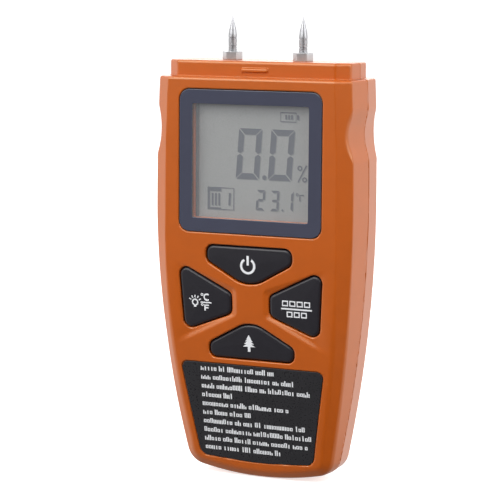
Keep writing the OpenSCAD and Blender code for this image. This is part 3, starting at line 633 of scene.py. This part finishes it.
def material(name, color, rough=0.4, metal=0.0, cloud=5.0, vary=0.05, grain=0.2, bump=0.05,
             rough_vary=0.15, stretch=(1, 1, 1), wear=None, wear_reach=0.03, **sockets):
    """Principled surface with cloudy colour, fine grain and, where wear is a colour, paler edges.

    cloud and grain are the sizes of the noise in millimetres.
    """
    made = bpy.data.materials.new(name)
    made.use_nodes = True
    nodes, links = made.node_tree.nodes, made.node_tree.links
    surface = nodes["Principled BSDF"]
    place = nodes.new("ShaderNodeTexCoord").outputs["Object"]
    if stretch != (1, 1, 1):
        mapping = with_inputs(nodes.new("ShaderNodeMapping"), Scale=stretch)
        links.new(place, mapping.inputs["Vector"])
        place = mapping.outputs["Vector"]

    def noise(size, detail):
        node = with_inputs(nodes.new("ShaderNodeTexNoise"), Scale=1 / (size * MM), Detail=detail)
        links.new(place, node.inputs["Vector"])
        return node.outputs["Fac"]

    def spread(value, low, high):
        node = with_inputs(nodes.new("ShaderNodeMapRange"), From_Min=0.3, From_Max=0.7,
                           To_Min=low, To_Max=high)
        links.new(value, node.inputs["Value"])
        return node.outputs["Result"]

    def mix(factor, first, second):
        node = nodes.new("ShaderNodeMix")
        node.data_type = "RGBA"
        links.new(factor, node.inputs["Factor"])
        for socket, value in ((node.inputs["A"], first), (node.inputs["B"], second)):
            if isinstance(value, bpy.types.NodeSocket):
                links.new(value, socket)
            else:
                socket.default_value = value
        return node.outputs["Result"]

    clouds, fine = noise(cloud, 3), noise(grain, 2)
    base = linear(color)[:3]
    darker = [c * (1 - vary) for c in base] + [1]
    lighter = [c * (1 + vary) for c in base] + [1]
    shade = mix(spread(clouds, 0, 1), darker, lighter)
    if wear:
        edge = with_inputs(nodes.new("ShaderNodeMapRange"), From_Min=0.5 + wear_reach,
                           From_Max=0.5 + 4 * wear_reach, To_Max=MOST_WEAR)
        links.new(nodes.new("ShaderNodeNewGeometry").outputs["Pointiness"], edge.inputs["Value"])
        shade = mix(edge.outputs["Result"], shade, linear(wear))
    links.new(shade, surface.inputs["Base Color"])
    roughness = spread(fine, rough * (1 - rough_vary), min(1, rough * (1 + rough_vary)))
    links.new(roughness, surface.inputs["Roughness"])
    relief = with_inputs(nodes.new("ShaderNodeBump"), Strength=bump, Distance=RELIEF)
    links.new(fine, relief.inputs["Height"])
    links.new(relief.outputs["Normal"], surface.inputs["Normal"])
    with_inputs(surface, Metallic=metal, **sockets)
    return made


ORANGE = material("case_orange", (187, 84, 6), rough=0.3, vary=0.03, grain=0.35, bump=0.03, rough_vary=0.05,
                  wear=(202, 112, 44), Specular_IOR_Level=1.0, Specular_Tint=(1, 0.97, 0.68, 1))
KEY = material("key_black", (34, 32, 38), rough=0.34, vary=0.06, grain=0.25, bump=0.1,
               wear=(74, 78, 88), wear_reach=0.05)
CARBON = material("carbon_black", (16, 16, 17), rough=0.8, grain=0.1)
PRINT_WHITE = material("print_white", (232, 233, 236), rough=0.5, vary=0.03, grain=0.3)
LENS_BORDER = material("lens_border", (68, 70, 86), rough=0.12, vary=0.04, cloud=12, bump=0.01,
                       Coat_Weight=0.5)
LENS_CLEAR = material("lens_clear", (200, 205, 210), rough=0.05, vary=0.01, bump=0.005, Alpha=0.14)
TAPE = material("tape_black", (20, 20, 21), rough=0.7)
LCD_FACE = material("lcd_face", (153, 152, 148), rough=0.3, vary=0.025, cloud=14, grain=0.6, bump=0.02)
# Darker grey of the panel's glass, which shows as a band round the polariser: painted shade
LCD_EDGE_SHADE = material("lcd_edge_shade", (104, 106, 104), rough=0.18, vary=0.04, bump=0.01)
# Grey of the painted shadow that the figures cast on the panel's reflector
LCD_PAINTED_SHADOW = material("lcd_painted_shadow", (122, 122, 121), vary=0.03, cloud=2, bump=0.01)
LCD_INK = material("lcd_ink", (66, 66, 76), cloud=2, bump=0.01)
WHITE = material("white_plastic", (236, 236, 232), rough=0.45, grain=0.3)
LED = material("led_yellow", (246, 238, 170), rough=0.2, Coat_Weight=0.6)
ZEBRA = material("zebra_pink", (214, 160, 178), rough=0.6, grain=0.15, stretch=(6, 1, 1), vary=0.2,
                 cloud=0.4)
LABEL_INK = material("label_black", (40, 39, 42), rough=0.3, vary=0.08, cloud=3, grain=0.5, bump=0.03)
WEB = material("web_grey", (56, 56, 60), rough=0.6)
BOARD = material("board_green", (30, 92, 50), rough=0.3, vary=0.25, cloud=2.2, grain=0.8, bump=0.1,
                 Coat_Weight=0.4)
CHIP = material("chip_black", (26, 26, 28), rough=0.5, grain=0.12, bump=0.15)
SMD = material("smd_mixed", (150, 128, 96), rough=0.5, vary=0.35, cloud=0.9)
TIN = material("bright_tin", (205, 205, 205), rough=0.25, metal=1.0)
SLEEVE = material("sleeve_blue", (32, 50, 84), rough=0.35, Coat_Weight=0.5)
BEAD = material("bead_brown", (52, 36, 24), rough=0.25, Coat_Weight=0.7)
PIN_STEEL = material("pin_steel", (178, 178, 181), metal=1.0, cloud=1.2, grain=0.08, bump=0.12,
                     stretch=(0.15, 0.15, 4), Specular_Tint=(0.4, 0.4, 0.4, 1))
NICKEL = material("nut_nickel", (204, 206, 208), rough=0.36, metal=1.0, vary=0.06, cloud=1.5,
                  grain=0.15, bump=0.08)
BRASS = material("brass", (190, 160, 86), rough=0.28, metal=1.0, vary=0.08, stretch=(0.2, 0.2, 4),
                 grain=0.15)
NYLON = material("nylon_ivory", (230, 224, 202), rough=0.45, Subsurface_Weight=0.1)
WIRE_WHITE = material("wire_white", (222, 221, 214))
WIRE_RED = material("wire_red", (166, 22, 18))
WIRE_BLACK = material("wire_black", (22, 22, 23))
CELL = material("cell_sleeve", (38, 58, 88), rough=0.25, vary=0.1, Coat_Weight=0.6)
CELL_BAND = material("cell_band", (196, 164, 84), rough=0.3, metal=0.8, Coat_Weight=0.5)
SCREW = material("screw_steel", (150, 150, 152), rough=0.32, metal=1.0, vary=0.1, cloud=1.0,
                 grain=0.15, bump=0.15)


# ---- Pieces ----

def piece(name, mesh, body, finishes, stands_for=()):
    made = bpy.data.objects.new(name, mesh)
    bpy.context.scene.collection.objects.link(made)
    for finish in finishes if isinstance(finishes, list) else [finishes]:
        mesh.materials.append(finish)
    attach(made, body)
    if stands_for:
        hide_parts(*stands_for)
    return made


# Casing
lo, hi = box_mm("front_shell")
piece("case_front", solid_mesh("case_front", front_shell, lo, hi, 0.42, 0.35), "case", ORANGE,
      ["front_shell"])
lo, hi = box_mm("rear_shell")
piece("case_rear", solid_mesh("case_rear", rear_shell, lo, hi, 0.5, 0.3), "case", ORANGE,
      ["rear_shell"])
piece("door_panel", solid_mesh("door_panel", door_shape, DOOR_LO, DOOR_HI, 0.3, 0.5), "door", ORANGE,
      ["battery_door"])

# Keys, with their printed symbols
STEM_END = box_mm("pill_power")[0][1]
KEYS = {
    "power": (POWER, POWER_LOW, (0, 70)),
    "mode": (SIDE, SIDE_LOW, (15.5, 58.4)),
    "light": (SIDE_LEFT, SIDE_LOW, (-15.5, 58.4)),
    "species": (TREE, TREE_LOW, (0, 45)),
}
for key, (distance, low, at) in KEYS.items():
    lo, hi = box_mm("key_" + key)
    shape = key_shape(distance, low, at, STEM_END)
    piece("keycap_" + key, solid_mesh("keycap_" + key, shape, lo, hi, 0.28, 0.6), key + "_key", KEY,
          ["key_" + key])


def power_symbol():
    drawn, x, z, stroke = Print(), -0.5, 69.2, 0.75
    drawn.line(arc(x, z, 2.22, 122, 418, 40), stroke)
    drawn.line([(x, z + 0.2), (x, z + 3.2)], stroke)
    return drawn


def light_symbol():
    """Lamp with rays, and the two temperature units either side of a bar."""
    drawn, x, z = Print(), -18.9, 56.5
    drawn.line(ring(x, z, 0.92), 0.42, closed=True)
    drawn.bar(x - 0.45, z - 1.5, 0.9, 0.42)
    for angle in (30, 60, 90, 120, 150):
        c, s = math.cos(math.radians(angle)), math.sin(math.radians(angle))
        drawn.line([(x + 1.5 * c, z + 1.5 * s), (x + 2.35 * c, z + 2.35 * s)], 0.36)
    drawn.line([(-17.0, 56.65), (-13.2, 56.65)], 0.42)
    for degree_z in (59.1, 55.85):
        drawn.line(ring(-16.4, degree_z, 0.33, 16), 0.26, closed=True)
    drawn.line(arc(-14.75, 58.35, 0.95, 50, 310, 20), 0.48)
    drawn.line([(-15.5, 55.95), (-15.5, 54.0)], 0.48)
    drawn.line([(-15.74, 55.75), (-14.1, 55.75)], 0.42)
    drawn.line([(-15.3, 54.95), (-14.3, 54.95)], 0.4)
    return drawn


def mode_symbol():
    """Two rows of plain boxes and a line between them, in place of two words."""
    drawn, stroke, tall = Print(), 0.5, 1.4
    drawn.line([(10.6, 56.6), (20.9, 56.6)], stroke)
    for count, left, pitch, wide, low in ((4, 11.1, 2.45, 1.7, 57.6), (3, 12.6, 2.4, 1.6, 54.2)):
        for i in range(count):
            x = left + pitch * i
            box = [(x, low), (x, low + tall), (x + wide, low + tall), (x + wide, low)]
            drawn.line(box, stroke, closed=True)
    return drawn


def tree_symbol():
    drawn, x = Print(), -0.7
    for top, half in ((47.2, 0.85), (46.45, 1.3), (45.6, 1.75), (44.75, 2.15)):
        drawn.area([(x, top), (x + half, top - 1.35), (x - half, top - 1.35)])
    drawn.bar(x - 0.42, 41.8, 0.84, 1.7)
    return drawn


def on_key(x, z):
    return face_y(z) + KEY_SINK + 0.02


for key, symbol in (("power", power_symbol), ("light", light_symbol), ("mode", mode_symbol),
                    ("species", tree_symbol)):
    piece("symbol_" + key, symbol().mesh("symbol_" + key, on_key, 0.05), key + "_key", PRINT_WHITE)


# Display: clear lens with a printed border, and the liquid crystal panel behind it
def lens_shape(x, y, z):
    return slab(lens_distance(x, z, 0), y, LENS_LO[1], LENS_HI[1], 0.25)


def border_shape(x, y, z):
    frame_area = np.maximum(lens_distance(x, z, -0.1), -window_distance(x, z, 0))
    return slab(frame_area, y, LENS_LO[1] - 0.05, LENS_LO[1] + 0.2, 0.08)


piece("lens", solid_mesh("lens", lens_shape, LENS_LO, LENS_HI, 0.4, 0.3), "case", LENS_CLEAR,
      ["display_lens"])
piece("lens_border", solid_mesh("lens_border", border_shape, LENS_LO - 0.1, LENS_HI, 0.2, 0.3), "case",
      LENS_BORDER)


POLARISER_HALF, POLARISER_Y = (18.6, 18.4), LCD_LO[1] - 0.12


def lcd_shape(x, y, z):
    half = (LCD_HI - LCD_LO) / 2
    return rounded_box((x, y - LCD_LO[1] - half[1], z - LENS_Z), half, 0.15)


def polariser_shape(x, y, z):
    d = rounded_box((x, z - LENS_Z), POLARISER_HALF, 0.3)
    return slab(d, y, POLARISER_Y, LCD_LO[1] + 0.2, 0.05)


# The glass's darker grey, seen round the polariser, is painted shade.
piece("lcd_panel", solid_mesh("lcd_panel", lcd_shape, LCD_LO, LCD_HI, 0.5, 0.3), "case", LCD_EDGE_SHADE,
      ["lcd_glass"])
piece("lcd_polariser", solid_mesh("lcd_polariser", polariser_shape, LCD_LO - 0.2, LCD_HI, 0.3, 0.2),
      "case", LCD_FACE)

SEGMENTS = {"0": "abcdef", "1": "bc", "2": "abged", "3": "abgcd"}


def digit(drawn, text, x, z, w, h, t, gap, lean):
    """Seven-segment figure; t is how wide a segment is, and gap half the gap between two."""
    m = h / 2
    shapes = {
        "a": [(gap, h), (w - gap, h), (w - t - gap, h - t), (t + gap, h - t)],
        "d": [(t + gap, t), (w - t - gap, t), (w - gap, 0), (gap, 0)],
        "f": [(0, h - gap), (t, h - t - gap), (t, m + t / 3 + gap), (t / 2, m + gap / 2), (0, m + t / 3)],
        "e": [(0, m - t / 3), (t / 2, m - gap / 2), (t, m - t / 3 - gap), (t, t + gap), (0, gap)],
        "g": [(t / 2 + gap, m), (t + gap, m + t / 2), (w - t - gap, m + t / 2), (w - t / 2 - gap, m),
              (w - t - gap, m - t / 2), (t + gap, m - t / 2)],
    }
    shapes["b"] = [(w - px, pz) for px, pz in shapes["f"]]
    shapes["c"] = [(w - px, pz) for px, pz in shapes["e"]]
    for segment in SEGMENTS[text]:
        drawn.area([(x + px + lean * pz, z + pz) for px, pz in shapes[segment]])


def battery_outline(drawn, x, z):
    drawn.line([(x, z), (x, z + 2.8), (x + 5.2, z + 2.8), (x + 5.2, z)], 0.32, closed=True)
    drawn.bar(x + 5.5, z + 0.7, 0.7, 1.4)
    for i in range(3):
        drawn.bar(x + 1.6 + 0.95 * i, z + 0.7, 0.6, 1.4)


def material_box(drawn, x, z):
    """Dark field with three bars, and beside it a frame with a single stroke."""
    drawn.bar(x, z, 0.8, 7.1)
    drawn.bar(x + 0.8, z + 5.8, 3.9, 1.3)
    drawn.bar(x + 0.8, z, 3.9, 0.7)
    for i in range(3):
        drawn.bar(x + 1.4 + 1.15 * i, z + 1.3, 0.62, 3.9)
    drawn.line([(x + 4.7, z + 0.15), (x + 9, z + 0.15), (x + 9, z + 6.95), (x + 4.7, z + 6.95)], 0.3)
    drawn.line([(x + 7.7, z + 5.4), (x + 7.5, z + 1.5)], 0.72)


def figures():
    """All that the display shows: reading, unit, temperature, battery and material box."""
    drawn = Print()
    for x in (-6.0, 4.9):
        digit(drawn, "0", x, 96.0, w=7.9, h=15.8, t=1.9, gap=0.22, lean=0.07)
    drawn.area(ring(3.75, 96.75, 0.75, 16)[::-1])
    for i, text in enumerate("231"):
        digit(drawn, text, 0.9 + 4.75 * i, 86.5, w=2.95, h=6.4, t=0.8, gap=0.1, lean=0.05)
    drawn.area(ring(9.95, 86.9, 0.36, 12)[::-1])
    drawn.line(ring(14.8, 92.0, 0.36, 12), 0.26, closed=True)
    drawn.line([(17.0, 91.9), (15.7, 91.9), (15.7, 90.0)], 0.42)
    for x, z in ((15.6, 100.2), (17.2, 96.7)):
        drawn.line(ring(x, z, 0.62, 16), 0.4, closed=True)
    drawn.line([(15.0, 95.8), (17.8, 101.1)], 0.4)
    battery_outline(drawn, 9.0, 114.3)
    material_box(drawn, -15.6, 86.0)
    return drawn


def on_polariser(x, z):
    return np.full_like(x, POLARISER_Y)


lcd_print = figures()
# A lighter grey copy of the figures, moved right and down: a painted shadow that the segments cast on the
# reflector behind them.
painted_shadow_print = Print()
painted_shadow_print.points = [(x + 0.3, z - 0.25) for x, z in lcd_print.points]
painted_shadow_print.faces = lcd_print.faces
piece("lcd_painted_shadow", painted_shadow_print.mesh("lcd_painted_shadow", on_polariser, 0.015), "case", LCD_PAINTED_SHADOW)
piece("lcd_figures", lcd_print.mesh("lcd_figures", on_polariser, 0.03), "case", LCD_INK)


# Label, with rows of blocks in place of its small print
def label_shape(x, y, z):
    d = y - face_y(z)
    return corner(LABEL(x, z), np.abs(d - LABEL_T / 2 - 0.05) - LABEL_T / 2, 0.0, 0.12)


lo, hi = box_mm("label_plate")
piece("label", solid_mesh("label", label_shape, lo, hi, 0.3, 0.25), "case", LABEL_INK,
      ["label_plate"])

ROW_MARKS = [20, 26, 30, 9, 24, 13, 28, 31, 28, 21]       # how many marks each row holds
MARK, ROW_PITCH, ROW_TOP, ROW_LEFT = 1.13, 2.92, 34.5, -17.8
MARK_LOW, MARK_TALL, MARK_LINE = 1.25, 1.75, 0.4


def small_mark(drawn, x, z, w, h, kind):
    """One of a few marks that stand for a printed character and aren't any."""
    if kind == 0:
        drawn.bar(x + w / 2 - MARK_LINE / 2, z, MARK_LINE, h)
    elif kind == 1:
        inset = MARK_LINE / 2
        left, right, low, high = x + inset, x + w - inset, z + inset, z + h - inset
        drawn.line([(left, low), (left, high), (right, high), (right, low)], MARK_LINE, closed=True)
    else:
        drawn.bar(x, z, MARK_LINE, h)
        drawn.bar(x + w - MARK_LINE, z, MARK_LINE, h * (0.65 if kind == 2 else 1))


def label_rows():
    """Rows of marks in groups of chance length."""
    drawn, chance = Print(), random.Random(7)
    for row, marks in enumerate(ROW_MARKS):
        x, z = ROW_LEFT, ROW_TOP - ROW_PITCH * row
        group_end = chance.randint(3, 9)
        for i in range(marks):
            height = MARK_TALL if chance.random() < 0.3 else MARK_LOW
            small_mark(drawn, x, z, MARK * 0.88, height, chance.choice([0, 1, 1, 2, 3]))
            x += MARK
            if i + 1 == group_end:
                x += 0.6 * MARK
                group_end += chance.randint(2, 9)
    return drawn


piece("label_rows", label_rows().mesh("label_rows", lambda x, z: face_y(z) + 0.05, 0.03), "case",
      PRINT_WHITE)

# Pins and nuts
PIN_TIP = box_mm("pin_left")[1][2]
PIN_FOOT = box_mm("pin_left")[0][2]
PIN_R = 1.3


def pin_profile():
    """Threaded stud, grooved shank and needle point, as (radius, z) going upwards."""
    profile = [(0, PIN_FOOT), (1.2, PIN_FOOT), (1.45, PIN_FOOT + 0.3)]
    z = PIN_FOOT + 0.5
    while z < NUT_TOP - 0.5:                            # stud thread
        profile += [(1.5, z), (1.28, z + 0.25)]
        z += 0.5
    profile += [(1.45, NUT_TOP - 0.1), (PIN_R, NUT_TOP)]
    for height, deep in ((0.6, 0.12), (1.3, 0.22), (2.2, 0.08), (3.9, 0.14)):
        z = NUT_TOP + height
        profile += [(PIN_R, z), (PIN_R - deep, z + 0.1), (PIN_R - deep, z + 0.32), (PIN_R, z + 0.42)]
    for r, height in ((PIN_R, 5.0), (1.2, 5.8), (1.02, 7.0), (0.74, 8.4), (0.46, 9.6)):
        profile.append((r, NUT_TOP + height))
    profile += [(0.2, PIN_TIP - 0.6), (0.08, PIN_TIP - 0.08), (0, PIN_TIP)]
    return profile


for side, sign in (("left", -1), ("right", 1)):
    piece("needle_" + side, lathe("needle_" + side, pin_profile(), (sign * PIN_X, 0)), "case", PIN_STEEL,
          ["pin_" + side])
    lo, hi = box_mm("pin_nut_" + side)
    nut = solid_mesh("nut_" + side, lambda x, y, z: nut_shape(x - sign * PIN_X, y, z), lo, hi, 0.11, 0.5)
    piece("nut_" + side, nut, "case", NICKEL, ["pin_nut_" + side])


# Screws
def placed(mesh, places, name):
    """One mesh of copies of a mesh, at points in millimetres."""
    joined = bmesh.new()
    for at in places:
        copy = mesh.copy()
        copy.transform(Matrix.Translation(Vector(at) * MM))
        joined.from_mesh(copy)
        bpy.data.meshes.remove(copy)
    made = bpy.data.meshes.new(name)
    joined.to_mesh(made)
    joined.free()
    made.shade_smooth()
    made.set_sharp_from_angle(angle=math.radians(35))
    return made


# Head radius, head height, shank radius, shank length and thread pitch
CASE_SCREW, BOARD_SCREW = (2.4, 1.8, 1.4, 13.0, 0.9), (1.8, 1.0, 0.8, 5.0, 0.6)
BOARD_BACK = box_mm("main_board")[1][1]
for name, node, screws, head_y, size in (
        ("screws_case", "case_screws", CASE_SCREWS, CASE_SINK_Y + 0.02, CASE_SCREW),
        ("screws_board", "board_screws", BOARD_SCREWS, BOARD_BACK + 0.02, BOARD_SCREW)):
    head_r, head_t, _, shank_len, _ = size
    lo, hi = (-head_r, -shank_len, -head_r), (head_r, head_t, head_r)
    one = solid_mesh(name + "_one", screw_shape(*size), lo, hi, 0.16, 0.6)
    places = [(sign * x, head_y, z) for x, z in screws for sign in (-1, 1)]
    piece(name, placed(one, places, name), "case", SCREW, [node])

# Cells
SLEEVE_TOP, BAND_LOW = 42.2, 34.0


def cell_profile(r):
    """Foot, sleeve and button of a cell, as (radius, height)."""
    foot = [(0, 0.35), (3.6, 0.35), (3.9, 0.0), (4.8, 0.0)]
    sleeve = [(r, 0.5), (r, 1.2), (r, BAND_LOW), (r, SLEEVE_TOP)]
    shoulder = [(4.9, 43.1), (4.2, 43.2), (4.0, 43.0)]
    button = [(1.95, 43.0), (1.9, 44.2), (1.6, 44.5), (0, 44.5)]
    return foot + sleeve + shoulder + button


for side in ("left", "middle", "right"):
    lo, hi = box_mm("cell_" + side)
    at = ((lo[0] + hi[0]) / 2, (lo[1] + hi[1]) / 2)
    upside, length = side == "middle", hi[2] - lo[2]
    profile = cell_profile((hi[0] - lo[0]) / 2)
    if upside:
        profile = [(pr, length - pz) for pr, pz in profile[::-1]]
    mesh = lathe("battery_" + side, [(pr, lo[2] + pz) for pr, pz in profile], at)
    piece("battery_" + side, mesh, "case", [CELL, CELL_BAND, TIN], ["cell_" + side])
    for face in mesh.polygons:
        along = face.center.z / MM - lo[2]
        along = length - along if upside else along
        reach = math.hypot(face.center.x / MM - at[0], face.center.y / MM - at[1])
        face.material_index = 2 if reach < 4.7 else 1 if along > BAND_LOW else 0

# CAD nodes that stay, each with a finish of its own
KEPT = {
    TAPE: ["lens_tape"],
    WHITE: ["lcd_frame", "backlight_panel"],
    LED: ["backlight_led"], ZEBRA: ["zebra_strip"],
    CARBON: ["pill_power", "pill_light", "pill_mode", "pill_species"],
    WEB: ["keypad_web"], BOARD: ["main_board"],
    CHIP: ["mcu_chip", "amplifier_chip"],
    SMD: ["smd_parts"],
    TIN: ["crystal", "probe_lugs", "contact_springs", "contact_plates"],
    SLEEVE: ["capacitor"], BEAD: ["thermistor"],
    BRASS: ["pin_bush_left", "pin_bush_right"],
    NYLON: ["pin_carrier"],
    WIRE_WHITE: ["probe_lead_left", "probe_lead_right"],
    WIRE_RED: ["battery_lead_pos"], WIRE_BLACK: ["battery_lead_neg"],
}
for finish, nodes in KEPT.items():
    for node in nodes:
        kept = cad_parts[node]
        kept.data.materials.clear()
        kept.data.materials.append(finish)
        kept.data.shade_smooth()
        kept.data.set_sharp_from_angle(angle=math.radians(30))

# ---- Stage, lights and camera ----

FLOOR_REACH = 40.0
ROOM_R, ROOM_HEIGHT, ROOM_SIDES = 6.0, 5.0, 96
MIDDLE = Vector((0.00051, FRONT_Y * MM, 0.0744))       # what the lights and the camera aim at


def white_surface(name, verts, faces, glow):
    """Glowing white mesh that bounced light and reflections pass by."""
    mesh = bpy.data.meshes.new(name)
    mesh.from_pydata(verts, [], faces)
    mesh.materials.append(material(
        name + "_white", (236, 236, 236), rough=0.9, vary=0.01, bump=0, cloud=400, grain=40,
        Specular_IOR_Level=0.0, Emission_Color=(1, 1, 1, 1), Emission_Strength=glow))
    made = bpy.data.objects.new(name, mesh)
    bpy.context.scene.collection.objects.link(made)
    made.visible_glossy = False
    made.visible_diffuse = False
    return made


floor_corners = [(FLOOR_REACH * i, FLOOR_REACH * j, 0) for i, j in ((-1, -1), (1, -1), (1, 1), (-1, 1))]
floor = white_surface("floor", floor_corners, [(0, 1, 2, 3)], 0.62)
floor.location.z = -0.0002

# White wall round the floor, seen by the camera only
around = [2 * math.pi * k / ROOM_SIDES for k in range(ROOM_SIDES)]
wall_rings = [(ROOM_R * math.cos(a), ROOM_R * math.sin(a), z) for z in (-0.1, ROOM_HEIGHT) for a in around]
wall_faces = []
for k in range(ROOM_SIDES):
    before = (k - 1) % ROOM_SIDES
    wall_faces.append((k, before, before + ROOM_SIDES, k + ROOM_SIDES))
backdrop = white_surface("backdrop", wall_rings, wall_faces, 1.0)
backdrop.visible_shadow = False


def towards(azimuth, elevation):
    """Unit vector; azimuth 0 is in front of the meter and 90 to its right."""
    a, e = math.radians(azimuth), math.radians(elevation)
    return Vector((math.sin(a) * math.cos(e), -math.cos(a) * math.cos(e), math.sin(e)))


def soft_light(name, azimuth, elevation, distance, size, power):
    """Square soft box aimed at the meter."""
    lamp = bpy.data.lights.new(name, "AREA")
    lamp.shape = "SQUARE"
    lamp.size, lamp.energy = size, power
    made = bpy.data.objects.new(name, lamp)
    bpy.context.scene.collection.objects.link(made)
    away = towards(azimuth, elevation)
    made.location = MIDDLE + away * distance
    made.rotation_mode = "QUATERNION"
    made.rotation_quaternion = away.to_track_quat("Z", "Y")


soft_light("key_light_box", azimuth=-24, elevation=38, distance=2.0, size=2.0, power=46)
soft_light("fill_light_box", azimuth=78, elevation=32, distance=1.6, size=1.5, power=19.5)
soft_light("back_light_box", azimuth=204, elevation=14, distance=1.1, size=0.9, power=3.4)


def light_tent(dark_side, dark, bright):
    """World like a white tent: darker on one side, overhead and below."""
    world = bpy.data.worlds.new("tent")
    world.use_nodes = True
    nodes, links = world.node_tree.nodes, world.node_tree.links

    def map_range(**inputs):
        return with_inputs(nodes.new("ShaderNodeMapRange"), **inputs)

    direction = nodes.new("ShaderNodeTexCoord").outputs["Generated"]
    facing = nodes.new("ShaderNodeVectorMath")
    facing.operation = "DOT_PRODUCT"
    facing.inputs[1].default_value = dark_side
    links.new(direction, facing.inputs[0])
    opening = map_range(From_Min=0.1, From_Max=0.75, To_Min=bright, To_Max=dark)
    opening.interpolation_type = "SMOOTHSTEP"
    links.new(facing.outputs["Value"], opening.inputs["Value"])
    height = nodes.new("ShaderNodeSeparateXYZ")
    links.new(direction, height.inputs["Vector"])
    below = map_range(From_Min=-0.9, From_Max=-0.3, To_Min=0.3, To_Max=1.0)
    above = map_range(From_Min=0.3, From_Max=0.85, To_Min=1.0, To_Max=0.3)
    strength = opening.outputs["Result"]
    for fade in (below, above):
        links.new(height.outputs["Z"], fade.inputs["Value"])
        product = nodes.new("ShaderNodeMath")
        product.operation = "MULTIPLY"
        links.new(strength, product.inputs[0])
        links.new(fade.outputs["Result"], product.inputs[1])
        strength = product.outputs["Value"]
    links.new(strength, nodes["Background"].inputs["Strength"])
    with_inputs(nodes["Background"], Color=(1, 1, 1, 1))
    bpy.context.scene.world = world


light_tent(dark_side=towards(20, -8), dark=0.14, bright=1.18)
bpy.context.scene.view_settings.view_transform = "Standard"

AZIMUTH, ELEVATION, ROLL = 24.0, 7.59, math.radians(0.44)
DISTANCE, LENS, SENSOR = 0.6277, 145.9, 36.0


def look_at_meter():
    data = bpy.data.cameras.new("camera")
    data.sensor_width, data.lens = SENSOR, LENS
    camera = bpy.data.objects.new("camera", data)
    bpy.context.scene.collection.objects.link(camera)
    back = towards(AZIMUTH, ELEVATION)
    turn = math.radians(AZIMUTH)
    right = Vector((math.cos(turn), math.sin(turn), 0))
    up = back.cross(right)
    x_axis = math.cos(ROLL) * right + math.sin(ROLL) * up
    y_axis = -math.sin(ROLL) * right + math.cos(ROLL) * up
    turned = Matrix((x_axis, y_axis, back)).transposed()
    camera.matrix_world = Matrix.Translation(MIDDLE + back * DISTANCE) @ turned.to_4x4()
    bpy.context.scene.camera = camera


look_at_meter()
